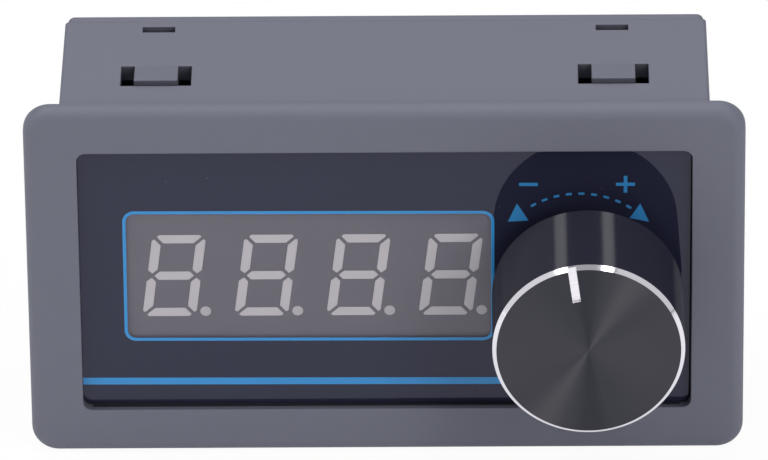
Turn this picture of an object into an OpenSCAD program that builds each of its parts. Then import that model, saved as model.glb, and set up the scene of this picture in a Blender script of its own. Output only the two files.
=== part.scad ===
// Panel-mount voltage signal generator: a moulded snap-in housing with a four-digit
// display and a push-and-turn encoder under a turned knob.
// Millimetres, +Z up, front towards -Y. The origin is the centre of the panel
// cut-out, on the back face of the bezel, so negative Y is in front of the panel.

/* [Housing] */
// Width of the body that passes through the panel
body_w = 71.4; // [70:0.2:95]
// Height of the body
body_h = 39; // [38.6:0.2:60]
// Depth from the back of the bezel to the rear face
body_depth = 24.4; // [23.8:0.2:45]
// Thickness of the body walls
wall = 1.8; // [1.2:0.1:2.1]
// Radius of the body's long edges
body_corner_r = 0.4; // [0.2:0.1:1.6]
// Thickness of the front wall behind the overlay
front_wall_t = 1.7; // [1.2:0.1:2.4]

/* [Bezel] */
// How far the bezel stands past the body at each side
bezel_over_x = 3.8; // [2:0.1:8]
// How far the bezel stands past the body at top and bottom
bezel_over_z = 2; // [1:0.1:8]
// Thickness of the bezel
bezel_t = 2; // [1.8:0.1:4]
// Corner radius of the bezel's outline
bezel_corner_r = 3; // [2:0.1:6]
// Radius along the bezel's front edge
bezel_edge_r = 1.3; // [0.5:0.1:1.7]
// Width of the bezel's rim left and right of the overlay
rim_x = 5.8; // [4:0.05:9]
// Width of the bezel's rim above and below the overlay
rim_z = 5.33; // [3.5:0.01:8]
// Corner radius of the overlay's pocket
pocket_corner_r = 1; // [0.5:0.1:3]
// Height of the pocket's middle above the bezel's
pocket_up = 0.16; // [0:0.02:0.6]
// Width of the glue groove round the pocket's floor
groove_w = 0.7; // [0.4:0.05:1]
// Depth of the glue groove
groove_depth = 0.7; // [0.3:0.05:0.8]

/* [Overlay] */
// Thickness of the printed film
overlay_t = 0.3; // [0.2:0.05:0.6]
// Depth of the film's face below the bezel's front
overlay_recess = 1.15; // [0.3:0.05:1.2]
// Gap between the film's edge and its pocket
overlay_gap = 0.14; // [0.05:0.01:0.4]
// How far the film is slid to the left in its pocket, as a share of the gap
overlay_slide = 0.5; // [0:0.05:0.95]

/* [Snap tongues] */
// Distance of each tongue and rear latch from the middle
tongue_x = 25.2; // [18:0.1:28]
// Width of a tongue
tongue_w = 4.8; // [3.5:0.1:7]
// Width of the slot at each side of a tongue
tongue_slot = 1.5; // [0.8:0.1:2]
// Depth behind the bezel at which the cut-out for a tongue starts
tongue_y = 7.8; // [5:0.1:9]
// Length of the cut-out along the depth
tongue_len = 4.6; // [3.5:0.1:7]
// Gap in front of a tongue's free end
tongue_gap = 0.3; // [0.2:0.05:0.8]
// Height of the free end above the body
tongue_rise = 0.5; // [0.2:0.05:1]

/* [Rear cover] */
// Thickness of the closing plate
cover_t = 1.5; // [1.4:0.1:3]
// Inset of the plate from the body at each side
cover_inset = 0.25; // [0:0.05:0.6]
// Radius round the plate's rear edge
cover_edge_r = 0.4; // [0.2:0.1:0.7]
// Corner radius of the plate's outline
cover_corner_r = 0.8; // [0.8:0.1:3]
// Clearance between the plate's lip and the body walls
lip_clear = 0.15; // [0.1:0.01:0.4]
// Thickness of the lip
lip_t = 1.2; // [0.8:0.1:2]
// Depth of the lip inside the body
lip_depth = 1.4; // [0.8:0.1:3]
// Width of a latch window
latch_w = 3.6; // [2.5:0.1:6]
// Length of a latch window along the depth
latch_len = 1.3; // [1:0.1:3]
// Wall left between a latch window and the body's rear edge
latch_edge = 1.2; // [0.4:0.1:2]
// Clearance of a hook in its window
latch_clear = 0.15; // [0.1:0.01:0.4]

/* [Display] */
// Centre of the display, to the right of the middle
display_x = -8.45; // [-10:0.05:-7]
// Centre of the display above the middle
display_z = 0.2; // [-0.4:0.05:2]
// Width of the display's shell
display_w = 41; // [40:0.1:42]
// Height of the display's shell
display_h = 16.4; // [14:0.1:16.8]
// Depth of the display's shell
display_depth = 8; // [6.5:0.1:9]
// Number of digits
digits = 4; // [1:1:4]
// Height of a digit
digit_h = 10.23; // [8:0.01:12]
// Width of a digit
digit_w = 5.94; // [4.5:0.01:6.5]
// Distance from digit to digit
digit_pitch = 10.16; // [9:0.01:10.4]
// Shift of the digits to the right of the shell's centre
digit_shift = 0.38; // [-0.5:0.01:0.5]
// Lean of the digits to the right, in degrees
digit_lean = 7.4; // [0:0.1:12]
// Width of a segment
segment_t = 1.05; // [0.7:0.05:1.4]
// Size of the cut across a segment's outer corners
segment_corner = 0.25; // [0.1:0.05:0.4]
// Gap between neighbouring segments
segment_gap = 0.38; // [0.15:0.01:0.5]
// Depth of the segments' light windows
segment_depth = 1.2; // [0.6:0.1:3]
// Radius of a decimal point
point_r = 0.6; // [0.4:0.05:0.8]
// Gap between a digit and its decimal point
point_gap = 0.4; // [0.2:0.05:0.8]
// Clearance round the display in the front wall
display_clear = 0.2; // [0.1:0.05:0.5]
// Gap between the film and the display's face
display_gap = 0.05; // [0.02:0.01:0.2]
// Distance of the display's pin rows from its edges
display_pin_inset = 2.1; // [1.5:0.05:3]

/* [Knob] */
// Place of the knob's axis, to the right of the middle
knob_x = 22.2; // [21:0.1:26]
// Place of the knob's axis above the middle
knob_z = -0.75; // [-2:0.05:2]
// Diameter of the knob
knob_d = 21; // [16:0.1:25]
// Height of the knob
knob_h = 12.55; // [10:0.05:20]
// Gap between the film and the knob's base
knob_gap = 2.55; // [1:0.01:2.6]
// Width of the bright chamfer across the face
chamfer_w = 0.5; // [0.2:0.05:1.5]
// Height of the bright chamfer down the side
chamfer_h = 0.5; // [0.2:0.05:1.5]
// Thickness of metal over the insert at the knob's face
knob_face_t = 1.3; // [1.2:0.1:3]
// Wall of the knob round its hollow base
knob_wall = 3; // [1.5:0.1:3.6]
// Depth of the hollow in the knob's base
knob_hollow = 3; // [2:0.1:5]
// Width of the index notch
notch_w = 0.88; // [0.5:0.02:1.5]
// Length of the index notch from the rim
notch_len = 4.3; // [2:0.1:5]
// Depth of the index notch
notch_depth = 0.3; // [0.15:0.05:0.6]
// Angle of the index notch to the left of the top, in degrees
notch_angle = 6.5; // [-150:0.5:150]
// Distance of the notch's middle line from the axis, to the left
notch_aside = 0.57; // [0:0.01:1]
// Radius of the insert that grips the shaft
insert_r = 5; // [4:0.1:6]

/* [Encoder] */
// Radius of the shaft
shaft_r = 3; // [2.5:0.05:3.2]
// Height of the shaft's flat above its axis
shaft_flat = 1.5; // [1:0.1:2]
// Clearance of the shaft in the bushing, and in the insert
shaft_clear = 0.05; // [0.03:0.01:0.08]
// Radius of the threaded bushing
bushing_r = 3.5; // [3.4:0.05:4]
// Length of the bushing in front of the film
bushing_out = 3; // [2.8:0.1:3.2]
// Thickness of the washer
washer_t = 0.5; // [0.3:0.1:0.6]
// Radius of the washer
washer_r = 5.8; // [5:0.1:6.2]
// Width of the nut across its flats
nut_af = 10; // [9:0.1:11]
// Thickness of the nut
nut_t = 2; // [1.5:0.1:2.2]
// Gap between the shaft's tip and the knob's metal
shaft_tip_gap = 0.5; // [0.2:0.1:2]
// Travel of the push switch
push_travel = 0.5; // [0.2:0.05:0.6]
// Width of the encoder's frame
encoder_w = 12.4; // [11.6:0.1:14]
// Height of the encoder's frame
encoder_h = 11.8; // [11:0.1:13]
// Thickness of the frame's sheet
frame_t = 0.6; // [0.4:0.1:0.8]

/* [Board] */
// Thickness of the circuit board
board_t = 1.6; // [1:0.1:2]
// Gap between the board's edge and the body walls
board_gap = 0.6; // [0.3:0.1:1]
// Distance of the board screws from the board's edges
screw_inset = 3.2; // [2.8:0.1:4.5]
// Radius of a board screw's shank
screw_r = 1.1; // [0.8:0.05:1.3]
// Radius of a boss
boss_r = 2.5; // [2:0.1:2.8]
// Radius of a display or header pin's hole, past the pin
hole_clear = 0.15; // [0.1:0.01:0.25]
// How far pins stand past the board
pin_out = 1.4; // [0.8:0.1:1.8]

/* [Wiring header] */
// Number of poles
poles = 4; // [2:1:4]
// Distance from pole to pole
pole_pitch = 5.08; // [5:0.01:5.1]
// Height of the header above the board
header_tall = 12; // [10:0.1:13]
// Size of the header's shroud along the height of the unit
header_h = 8.6; // [8.2:0.1:8.8]
// Wall of the shroud
header_wall = 0.8; // [0.6:0.1:1]
// Gap between the header and the lower wall
header_gap = 0.9; // [0.6:0.1:1.2]
// Depth of the shroud's cavity
header_cavity = 8.6; // [7:0.1:9]
// Side of a square pin
header_pin = 1; // [0.8:0.05:1.1]
// Depth of the pins' tips below the shroud's mouth
header_pin_sunk = 2.2; // [1:0.1:3]
// Drop of the pins below the cavity's middle
header_pin_drop = 1.6; // [1.2:0.1:2]
// Clearance round the header in the rear cover
mouth_clear = 0.5; // [0.3:0.1:0.8]
// Room above the header for the screw side of a plug
plug_room = 6.4; // [4:0.1:8]

/* [Hidden] */
$fn = 64;
// Overshoot of cuts past the faces that they open
eps = 0.5;

// Outlines
bezel_w = body_w + 2 * bezel_over_x;
bezel_h = body_h + 2 * bezel_over_z;
pocket_w = bezel_w - 2 * rim_x;
pocket_h = bezel_h - 2 * rim_z;
inner_w = body_w - 2 * wall;
inner_h = body_h - 2 * wall;
board_w = inner_w - 2 * board_gap;
board_h = inner_h - 2 * board_gap;
cover_w = body_w - 2 * cover_inset;

// Depths, front to rear
bezel_front = -bezel_t;
film_front = bezel_front + overlay_recess;
film_back = film_front + overlay_t;
wall_back = film_back + front_wall_t;
display_front = film_back + display_gap;
board_front = display_front + display_depth;
board_back = board_front + board_t;
shell_end = body_depth - cover_t;
latch_back = shell_end - latch_edge;
latch_front = latch_back - latch_len;
lip_front = shell_end - lip_depth;

// Knob and encoder stack
knob_r = knob_d / 2;
knob_base = film_front - knob_gap;
knob_front = knob_base - knob_h;
hollow_floor = knob_base - knob_hollow;
hollow_r = knob_r - knob_wall;
bushing_end = film_front - bushing_out;
push_spare = 0.3;
insert_base = bushing_end - push_travel - push_spare;
insert_end = knob_front + knob_face_t;
shaft_end = insert_end + shaft_tip_gap;
flat_start = insert_base + push_spare;
frame_back = wall_back + frame_t;
flange_t = 0.6;
flange_over = 1.1;
flange_r = bushing_r + flange_over;
flange_back = frame_back + flange_t;
collar_over = 0.9;
collar_r = shaft_r + collar_over;
collar_t = 0.7;
collar_front = flange_back + shaft_clear;
shaft_stub = 0.4;
shaft_back = collar_front + collar_t + shaft_stub;
well_clear = 0.2;
well_r = collar_r + well_clear;
well_floor_t = 0.95;
well_floor = board_front - well_floor_t;
dome_h = 0.35;
dome_t = 0.15;
dome_spare = 0.1;
plunger_disc_t = 1;
plunger_stem_r = 1.3;
plunger_tip = well_floor - dome_h - push_travel - dome_spare;
// Clearance of the bushing in the front wall, the washer and the film
bushing_clear = 0.1;

// Corner radius of the display's shell and of the encoder's body
mould_r = 0.5;

// Board fittings
pilot_floor = wall_back + 1;
screw_places = [
    for (sx = [-1, 1], sz = [-1, 1])
        [sx * (board_w / 2 - screw_inset), sz * (board_h / 2 - screw_inset)]
];
pin_pitch = 2.54;
display_pin_r = 0.25;
display_pin_row = display_h / 2 - display_pin_inset;
display_pin_places = [
    for (i = [-2.5:2.5], side = [-1, 1])
        [display_x + i * pin_pitch, display_z + side * display_pin_row]
];
encoder_pin = [0.9, 0.35];
encoder_pin_pitch = 2.5;
encoder_pin_up = 1.6;
encoder_pin_z = encoder_h / 2 + encoder_pin[1] / 2;
encoder_pin_places = [
    for (i = [-1, 0, 1]) [knob_x + i * encoder_pin_pitch, knob_z - encoder_pin_z],
    for (i = [-1, 1]) [knob_x + i * encoder_pin_pitch, knob_z + encoder_pin_z]
];
leg_w = 2.2;
leg_x = (encoder_w - frame_t) / 2;

// Wiring header
header_w = poles * pole_pitch + 2 * header_wall;
header_x = display_x;
header_z = -inner_h / 2 + header_gap + header_h / 2;
header_mouth = board_back + header_tall;
header_floor = header_mouth - header_cavity;
header_pin_z = header_z - header_pin_drop;
header_pin_end = header_mouth - header_pin_sunk;
header_pin_places = [
    for (i = [0:poles - 1])
        [header_x + (i - (poles - 1) / 2) * pole_pitch, header_pin_z]
];
mouth_w = header_w + 2 * mouth_clear;
mouth_low = header_z - header_h / 2 - mouth_clear;
mouth_high = header_z + header_h / 2 + plug_room;

// Sizes of the parts on the back of the board: width, height, thickness
mcu_size = [7, 7, 1.4];
driver_size = [9.9, 3.9, 1.5];
op_amp_size = [4.9, 3.9, 1.5];
regulator_size = [6.5, 3.5, 1.6];
diode_size = [2.6, 4.3, 2.1];
resistor_size = [2, 1.25, 0.55];
ceramic_size = [2, 1.25, 0.9];
coil_size = [7, 7, 4];
can_base = [6.6, 6.6, 1.3];
can_r = 3.15;
can_tall = 7.7;

// Places of those parts, from the board's edges, the encoder's pins and the header
edge_room = 2.2;
chip_step = 3.2;
ceramic_drop = 2.8;
left_edge = -board_w / 2 + 2 * screw_inset;
top_edge = board_h / 2 - edge_room;
pins_left = encoder_pin_places[0][0];
mcu_at = [left_edge + mcu_size[0] / 2 - edge_room / 3, display_z];
op_amp_at = [pins_left - encoder_pin_pitch - 3 * chip_step, display_z];
regulator_at = [op_amp_at[0], top_edge - regulator_size[1] - edge_room / 3];
can_z = -board_h / 2 + edge_room / 2 + can_base[1] / 2;
can_x = header_x + header_w / 2 + 2 * edge_room + can_base[0] / 2;
capacitors_at = [for (i = [0, 1]) [can_x + i * (can_base[0] + edge_room / 2), can_z]];
inductor_at = [knob_x - edge_room, top_edge - coil_size[1] / 2];
diode_at = [left_edge + diode_size[0] / 2, header_z + edge_room];
resistor_rows = [[left_edge + 1, top_edge - resistor_size[1], 8], [left_edge + 1, -edge_room * 2.5, 2]];
ceramic_rows = [
    [resistor_rows[0][0], resistor_rows[0][1] - ceramic_drop, 8],
    [op_amp_at[0] - chip_step, op_amp_at[1] - op_amp_size[1] - edge_room / 2, 3]
];

// Colours
grey_moulding = [0.42, 0.43, 0.48];
film_dark = [0.11, 0.12, 0.16, 0.75];
shell_grey = [0.40, 0.39, 0.42];
epoxy_white = [0.75, 0.73, 0.75];
nylon_white = [0.85, 0.85, 0.82];
tin = [0.75, 0.75, 0.72];
steel = [0.68, 0.69, 0.70];
laminate_green = [0.08, 0.30, 0.16];
black_plastic = [0.08, 0.08, 0.09];
anodised_black = [0.12, 0.12, 0.13];
header_green = [0.15, 0.45, 0.22];
chip_black = [0.10, 0.10, 0.11];
can_silver = [0.78, 0.79, 0.80];
ferrite_grey = [0.22, 0.22, 0.23];
ceramic_tan = [0.62, 0.50, 0.36];

// Carries an outline drawn as seen from the front, from depth y0 back to depth y1
module slab(y0, y1) {
    translate([0, y1, 0]) rotate([90, 0, 0]) linear_extrude(y1 - y0) children();
}

// Turns a profile of radius and depth about an axis that runs front to rear
module turned(x, z) {
    translate([x, 0, z]) rotate([-90, 0, 0]) rotate_extrude() children();
}

// Round bar along the depth
module rod(x, z, r, y0, y1) {
    translate([x, y0, z]) rotate([-90, 0, 0]) cylinder(r = r, h = y1 - y0);
}

module quarter_disc(r) {
    intersection() {
        circle(r);
        square(r);
    }
}

module rounded_rect(w, h, r) {
    square([w - 2 * r, h], center = true);
    square([w, h - 2 * r], center = true);
    for (corner = [[1, 1, 0], [-1, 1, 90], [-1, -1, 180], [1, -1, 270]])
        translate([corner[0] * (w / 2 - r), corner[1] * (h / 2 - r)])
            rotate(corner[2]) quarter_disc(r);
}

// Section through a plate's rim: radius across, thickness up, upper outer edge rounded
module rim_section(r, t, edge) {
    square([r, t - edge]);
    square([r - edge, t]);
    translate([r - edge, t - edge]) quarter_disc(edge);
}

// Plate with rounded corners whose upper edge is rounded all the way round
module soft_plate(w, h, t, r, edge) {
    translate([r - w / 2, r - h / 2, 0]) cube([w - 2 * r, h - 2 * r, t]);
    for (side = [0:3]) {
        reach = side % 2 == 0 ? w / 2 : h / 2;
        half = side % 2 == 0 ? h / 2 : w / 2;
        rotate(90 * side) translate([reach - r, half - r, 0]) {
            rotate_extrude(angle = 90) rim_section(r, t, edge);
            rotate([90, 0, 0]) linear_extrude(2 * (half - r)) rim_section(r, t, edge);
        }
    }
}

// Draws its children on the upper and the lower wall, left and right
module at_tongues() {
    for (sx = [-1, 1], flip = [0, 1])
        mirror([0, 0, flip]) translate([sx * tongue_x, 0, 0]) children();
}

// Profile of depth and height, carried across a width centred on X = 0
module across(w) {
    translate([-w / 2, 0, 0]) rotate([90, 0, 90]) linear_extrude(w) children();
}

// The housing, its overlay and its rear cover

// Wedge on a tongue: level with the body at its root, raised at its free end
module tongue_wedge() {
    top = body_h / 2;
    root = tongue_y + tongue_len;
    tip = tongue_y + tongue_gap;
    across(tongue_w) polygon([
        [tip, top - wall / 2],
        [root, top - wall / 2],
        [root, top],
        [tip, top + tongue_rise]
    ]);
}

// Cut that frees a tongue at its sides and its front end
module tongue_cut() {
    depth = wall + tongue_rise + 2 * eps;
    low = body_h / 2 - wall - eps;
    for (sx = [-1, 1])
        translate([sx * (tongue_w + tongue_slot) / 2 - tongue_slot / 2, tongue_y, low])
            cube([tongue_slot, tongue_len, depth]);
    translate([-tongue_w / 2 - eps, tongue_y, low])
        cube([tongue_w + 2 * eps, tongue_gap, depth]);
}

module latch_window() {
    translate([-latch_w / 2, latch_front, body_h / 2 - wall - eps])
        cube([latch_w, latch_len, wall + 2 * eps]);
}

// Outline of the overlay's pocket, moved inwards by an inset
module pocket_outline(inset) {
    translate([0, pocket_up]) rounded_rect(pocket_w - 2 * inset, pocket_h - 2 * inset, pocket_corner_r);
}

// Outer form with its cavity, before the holes
module housing_shell() {
    difference() {
        union() {
            rotate([90, 0, 0]) soft_plate(bezel_w, bezel_h, bezel_t, bezel_corner_r, bezel_edge_r);
            slab(0, shell_end) rounded_rect(body_w, body_h, body_corner_r);
        }
        slab(wall_back, shell_end + eps) square([inner_w, inner_h], center = true);
        slab(bezel_front - eps, film_back) pocket_outline(0);
        slab(film_back - eps, film_back + groove_depth) difference() {
            pocket_outline(0);
            pocket_outline(groove_w);
        }
    }
    for (p = screw_places) rod(p[0], p[1], boss_r, wall_back, board_front);
}

module front_housing() {
    opening = 2 * display_clear;
    color(grey_moulding) difference() {
        union() {
            difference() {
                housing_shell();
                at_tongues() tongue_cut();
            }
            at_tongues() tongue_wedge();
        }
        at_tongues() latch_window();
        slab(film_back - eps, wall_back + eps) translate([display_x, display_z])
            square([display_w + opening, display_h + opening], center = true);
        rod(knob_x, knob_z, bushing_r + bushing_clear, film_back - eps, wall_back + eps);
        for (p = screw_places) rod(p[0], p[1], screw_r, pilot_floor, board_front + eps);
    }
}

// Arm and barb of a rear-cover hook, seen along the width
module hook_section() {
    top = inner_h / 2 - lip_clear;
    barb = body_h / 2 - wall / 3;
    back = latch_back - latch_clear;
    front = latch_front + latch_clear;
    land = latch_len / 3;
    polygon([
        [front, top - lip_t],
        [shell_end, top - lip_t],
        [shell_end, top],
        [back, top],
        [back, barb],
        [back - land, barb],
        [front, top]
    ]);
}

module rear_cover() {
    lip_w = inner_w - 2 * lip_clear;
    lip_h = inner_h - 2 * lip_clear;
    hook_w = latch_w - 2 * latch_clear;
    color(grey_moulding) difference() {
        union() {
            translate([0, shell_end, 0]) rotate([-90, 0, 0])
                soft_plate(cover_w, body_h, cover_t, cover_corner_r, cover_edge_r);
            slab(lip_front, shell_end) difference() {
                square([lip_w, lip_h], center = true);
                square([lip_w - 2 * lip_t, lip_h - 2 * lip_t], center = true);
            }
            at_tongues() across(hook_w) hook_section();
        }
        slab(shell_end - eps, body_depth + eps)
            translate([header_x - mouth_w / 2, mouth_low])
                square([mouth_w, mouth_high - mouth_low]);
        slab(lip_front - eps, shell_end)
            translate([header_x - mouth_w / 2, -inner_h / 2])
                square([mouth_w, mouth_high + inner_h / 2]);
    }
}

module front_overlay() {
    color(film_dark) slab(film_front, film_back) difference() {
        translate([-overlay_slide * overlay_gap, 0]) pocket_outline(overlay_gap);
        translate([knob_x, knob_z]) circle(bushing_r + bushing_clear);
    }
}

// The display

// Point of a digit, from its lower left corner, leaned about its middle height
function leaned(p) = [p[0] + tan(digit_lean) * (p[1] - digit_h / 2), p[1]];

// Outline of the top bar: mitred at both ends, with its outer corners taken off
function top_bar() = let (
    w = digit_w, h = digit_h, t = segment_t, m = segment_gap / sqrt(2), c = segment_corner
) [
    [m + 1.8 * c, h], [w - m - 1.8 * c, h], [w - m - c, h - c],
    [w - m - t, h - t], [m + t, h - t], [m + c, h - c]
];

// Outline of the upper left bar: mitred at the top, pointed at the digit's middle
function side_bar() = let (
    h = digit_h, t = segment_t, m = segment_gap / sqrt(2), c = segment_corner
) [
    [0, h - m - 1.8 * c], [c, h - m - c], [t, h - m - t],
    [t, (h + t) / 2 + m], [t / 2, h / 2 + m], [0, (h + 0.8 * t) / 2 + m]
];

// Outline of the middle bar, pointed at both ends
function middle_bar() = let (
    w = digit_w, h = digit_h, t = segment_t, m = segment_gap / sqrt(2)
) [
    [t / 2 + m, h / 2], [t + m, (h + t) / 2], [w - t - m, (h + t) / 2],
    [w - t / 2 - m, h / 2], [w - t - m, (h - t) / 2], [t + m, (h - t) / 2]
];

function flipped(points, over_x, over_z) = [
    for (p = points) [over_x ? digit_w - p[0] : p[0], over_z ? digit_h - p[1] : p[1]]
];

module digit_outline() {
    for (over_z = [false, true]) {
        polygon([for (p = flipped(top_bar(), false, over_z)) leaned(p)]);
        for (over_x = [false, true])
            polygon([for (p = flipped(side_bar(), over_x, over_z)) leaned(p)]);
    }
    polygon([for (p = middle_bar()) leaned(p)]);
    translate(leaned([digit_w + point_gap + point_r, point_r])) circle(point_r);
}

module all_digits() {
    for (i = [0:digits - 1])
        translate([
            display_x + digit_shift + (i - (digits - 1) / 2) * digit_pitch - digit_w / 2,
            display_z - digit_h / 2
        ]) digit_outline();
}

module display_body() {
    color(shell_grey) difference() {
        slab(display_front, board_front) translate([display_x, display_z])
            rounded_rect(display_w, display_h, mould_r);
        slab(display_front - eps, display_front + segment_depth) all_digits();
    }
}

module display_segments() {
    color(epoxy_white) slab(display_front, display_front + segment_depth) all_digits();
}

module display_pins() {
    color(tin) for (p = display_pin_places)
        rod(p[0], p[1], display_pin_r, board_front, board_back + pin_out);
}

// The circuit board and its screws

module circuit_board() {
    color(laminate_green) slab(board_front, board_back) difference() {
        square([board_w, board_h], center = true);
        for (p = screw_places) translate(p) circle(screw_r + hole_clear);
        for (p = display_pin_places) translate(p) circle(display_pin_r + hole_clear);
        for (p = encoder_pin_places) translate(p) circle(encoder_pin[0] / 2 + hole_clear);
        for (p = header_pin_places) translate(p) circle(header_pin * 0.75 + hole_clear);
        for (sx = [-1, 1]) translate([knob_x + sx * leg_x, knob_z])
            square([frame_t + 2 * hole_clear, leg_w + 2 * hole_clear], center = true);
    }
}

module board_screw() {
    head_r = screw_r * 2;
    head_t = screw_r * 1.5;
    tip = pilot_floor + screw_r;
    difference() {
        rotate([-90, 0, 0]) rotate_extrude() polygon([
            [0, tip], [screw_r / 2, tip], [screw_r, tip + screw_r], [screw_r, board_back],
            [head_r, board_back], [head_r, board_back + head_t * 0.6],
            [head_r * 0.7, board_back + head_t], [0, board_back + head_t]
        ]);
        for (turn = [0, 90]) rotate([0, turn, 0])
            translate([-head_r / 2, board_back + head_t * 0.4, -screw_r / 4])
                cube([head_r, head_t, screw_r / 2]);
    }
}

module board_screws() {
    color(steel) for (p = screw_places) translate([p[0], 0, p[1]]) board_screw();
}

// The encoder

// Folded sheet: a plate behind the front wall with a leg down each side into the board
module encoder_frame() {
    color(steel) {
        slab(wall_back, frame_back) difference() {
            translate([knob_x, knob_z]) square([encoder_w, encoder_h], center = true);
            translate([knob_x, knob_z]) circle(bushing_r);
        }
        slab(wall_back, board_back + pin_out)
            for (sx = [-1, 1]) translate([knob_x + sx * leg_x, knob_z])
                square([frame_t, leg_w], center = true);
    }
}

module encoder_body() {
    color(black_plastic) difference() {
        slab(frame_back, board_front) translate([knob_x, knob_z])
            rounded_rect(encoder_w - 2 * frame_t, encoder_h, mould_r);
        rod(knob_x, knob_z, flange_r, frame_back - eps, flange_back);
        rod(knob_x, knob_z, well_r, flange_back - eps, well_floor);
    }
}

module encoder_bushing() {
    bore = shaft_r + shaft_clear;
    lead_in = (bushing_r - bore) / 2;
    color(steel) turned(knob_x, knob_z) polygon([
        [bore, bushing_end], [bushing_r - lead_in, bushing_end],
        [bushing_r, bushing_end + lead_in],
        [bushing_r, frame_back], [flange_r, frame_back], [flange_r, flange_back],
        [bore, flange_back]
    ]);
}

// Shaft with a flat for the knob, a collar behind the bushing and a round back end
module encoder_shaft() {
    color(steel) difference() {
        turned(knob_x, knob_z) polygon([
            [0, shaft_end], [shaft_r, shaft_end], [shaft_r, collar_front],
            [collar_r, collar_front], [collar_r, collar_front + collar_t],
            [shaft_r, collar_front + collar_t], [shaft_r, shaft_back], [0, shaft_back]
        ]);
        slab(shaft_end - eps, flat_start) translate([knob_x, knob_z]) rotate(notch_angle)
            translate([-shaft_r, shaft_flat]) square([2 * shaft_r, shaft_r]);
    }
}

module encoder_plunger() {
    disc_back = shaft_back + plunger_disc_t;
    color(nylon_white) turned(knob_x, knob_z) polygon([
        [0, shaft_back], [collar_r, shaft_back], [collar_r, disc_back],
        [plunger_stem_r, disc_back], [plunger_stem_r, plunger_tip], [0, plunger_tip]
    ]);
}

// Snap dome of spring steel, its rim on the floor of the encoder's well
module switch_dome() {
    apex = well_floor - dome_h;
    rim_r = well_r * 0.8;
    foot_r = rim_r - 2 * dome_t;
    crown_r = plunger_stem_r;
    color(steel) turned(knob_x, knob_z) polygon([
        [0, apex], [crown_r, apex], [foot_r, well_floor - dome_t], [rim_r, well_floor - dome_t],
        [rim_r, well_floor], [foot_r - dome_t, well_floor],
        [crown_r - dome_t, apex + dome_t], [0, apex + dome_t]
    ]);
}

module encoder_pins() {
    color(tin) slab(board_front - encoder_pin_up, board_back + pin_out)
        for (p = encoder_pin_places) translate(p) square(encoder_pin, center = true);
}

module encoder_washer() {
    color(steel) slab(film_front - washer_t, film_front) translate([knob_x, knob_z])
        difference() {
            circle(washer_r);
            circle(bushing_r + bushing_clear);
        }
}

module encoder_nut() {
    back = film_front - washer_t;
    color(steel) slab(back - nut_t, back) translate([knob_x, knob_z]) difference() {
        circle(nut_af / sqrt(3), $fn = 6);
        circle(bushing_r);
    }
}

// The knob

module knob() {
    color(anodised_black) difference() {
        turned(knob_x, knob_z) polygon([
            [0, knob_front], [knob_r - chamfer_w, knob_front], [knob_r, knob_front + chamfer_h],
            [knob_r, knob_base], [hollow_r, knob_base], [hollow_r, hollow_floor],
            [insert_r, hollow_floor], [insert_r, insert_end], [0, insert_end]
        ]);
        translate([knob_x, knob_front, knob_z]) rotate([0, -notch_angle, 0])
            translate([-notch_aside - notch_w / 2, -eps, knob_r - notch_len])
                cube([notch_w, eps + notch_depth, notch_len + eps]);
    }
}

// Core pressed into the knob, with a bore to match the shaft and its flat
module knob_insert() {
    bore = shaft_r + shaft_clear;
    color(black_plastic) slab(insert_end, insert_base) translate([knob_x, knob_z])
        difference() {
            circle(insert_r);
            rotate(notch_angle) intersection() {
                circle(bore);
                translate([-bore, -bore]) square([2 * bore, bore + shaft_flat + shaft_clear]);
            }
        }
}

// The wiring header, an open shroud round four pins that takes a plug from the rear

module wiring_header() {
    inside_w = header_w - 2 * header_wall;
    inside_h = header_h - 2 * header_wall;
    notch = pole_pitch * 0.45;
    color(header_green) difference() {
        slab(board_back, header_mouth) translate([header_x, header_z])
            square([header_w, header_h], center = true);
        slab(header_floor, header_mouth + eps) translate([header_x, header_z])
            square([inside_w, inside_h], center = true);
        slab(header_mouth - header_cavity / 2, header_mouth + eps)
            for (p = header_pin_places) translate([p[0] - notch / 2, header_z])
                square([notch, header_h]);
        slab(board_back - eps, header_floor + eps)
            for (p = header_pin_places) translate(p) square(header_pin, center = true);
    }
}

module wiring_header_pins() {
    color(tin) slab(board_front - pin_out, header_pin_end)
        for (p = header_pin_places) translate(p) square(header_pin, center = true);
}

// Chips and passive parts on the back of the board

// One formed lead, seen from its side: out of the body, down, and along the board
module lead_section(reach, rise) {
    t = 0.2;
    bend = reach * 0.45;
    polygon([
        [-t, rise], [bend, rise], [bend, t], [reach, t],
        [reach, 0], [bend - t, 0], [bend - t, rise - t], [-t, rise - t]
    ]);
}

// Row of leads along the upper side of a package that is twice half high
module lead_row(count, pitch, half, reach, rise, lead_w) {
    for (i = [0:count - 1])
        translate([(i - (count - 1) / 2) * pitch + lead_w / 2, 0, half])
            rotate([0, -90, 0]) linear_extrude(lead_w) lead_section(reach, rise);
}

// Moulded package on the back of the board, with rows of leads on the sides listed as quarter turns
module package(at, size, count, pitch, sides, lead_w = 0.4, reach = 1) {
    standoff = 0.1;
    rise = size[2] / 2 + standoff;
    translate([at[0], board_back, at[1]]) {
        slab(standoff, standoff + size[2]) square([size[0], size[1]], center = true);
        for (side = sides) rotate([0, 90 * side, 0])
            lead_row(count, pitch, size[side % 2 == 0 ? 1 : 0] / 2, reach, rise, lead_w);
    }
}

module microcontroller() {
    color(chip_black) package(mcu_at, mcu_size, 8, mcu_size[0] / 9, [0, 1, 2, 3], mcu_size[0] / 20);
}

module display_driver() {
    color(chip_black) package([display_x, display_z], driver_size, 8, pin_pitch / 2, [0, 2]);
}

module op_amp() {
    color(chip_black) package(op_amp_at, op_amp_size, 4, pin_pitch / 2, [0, 2]);
}

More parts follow.
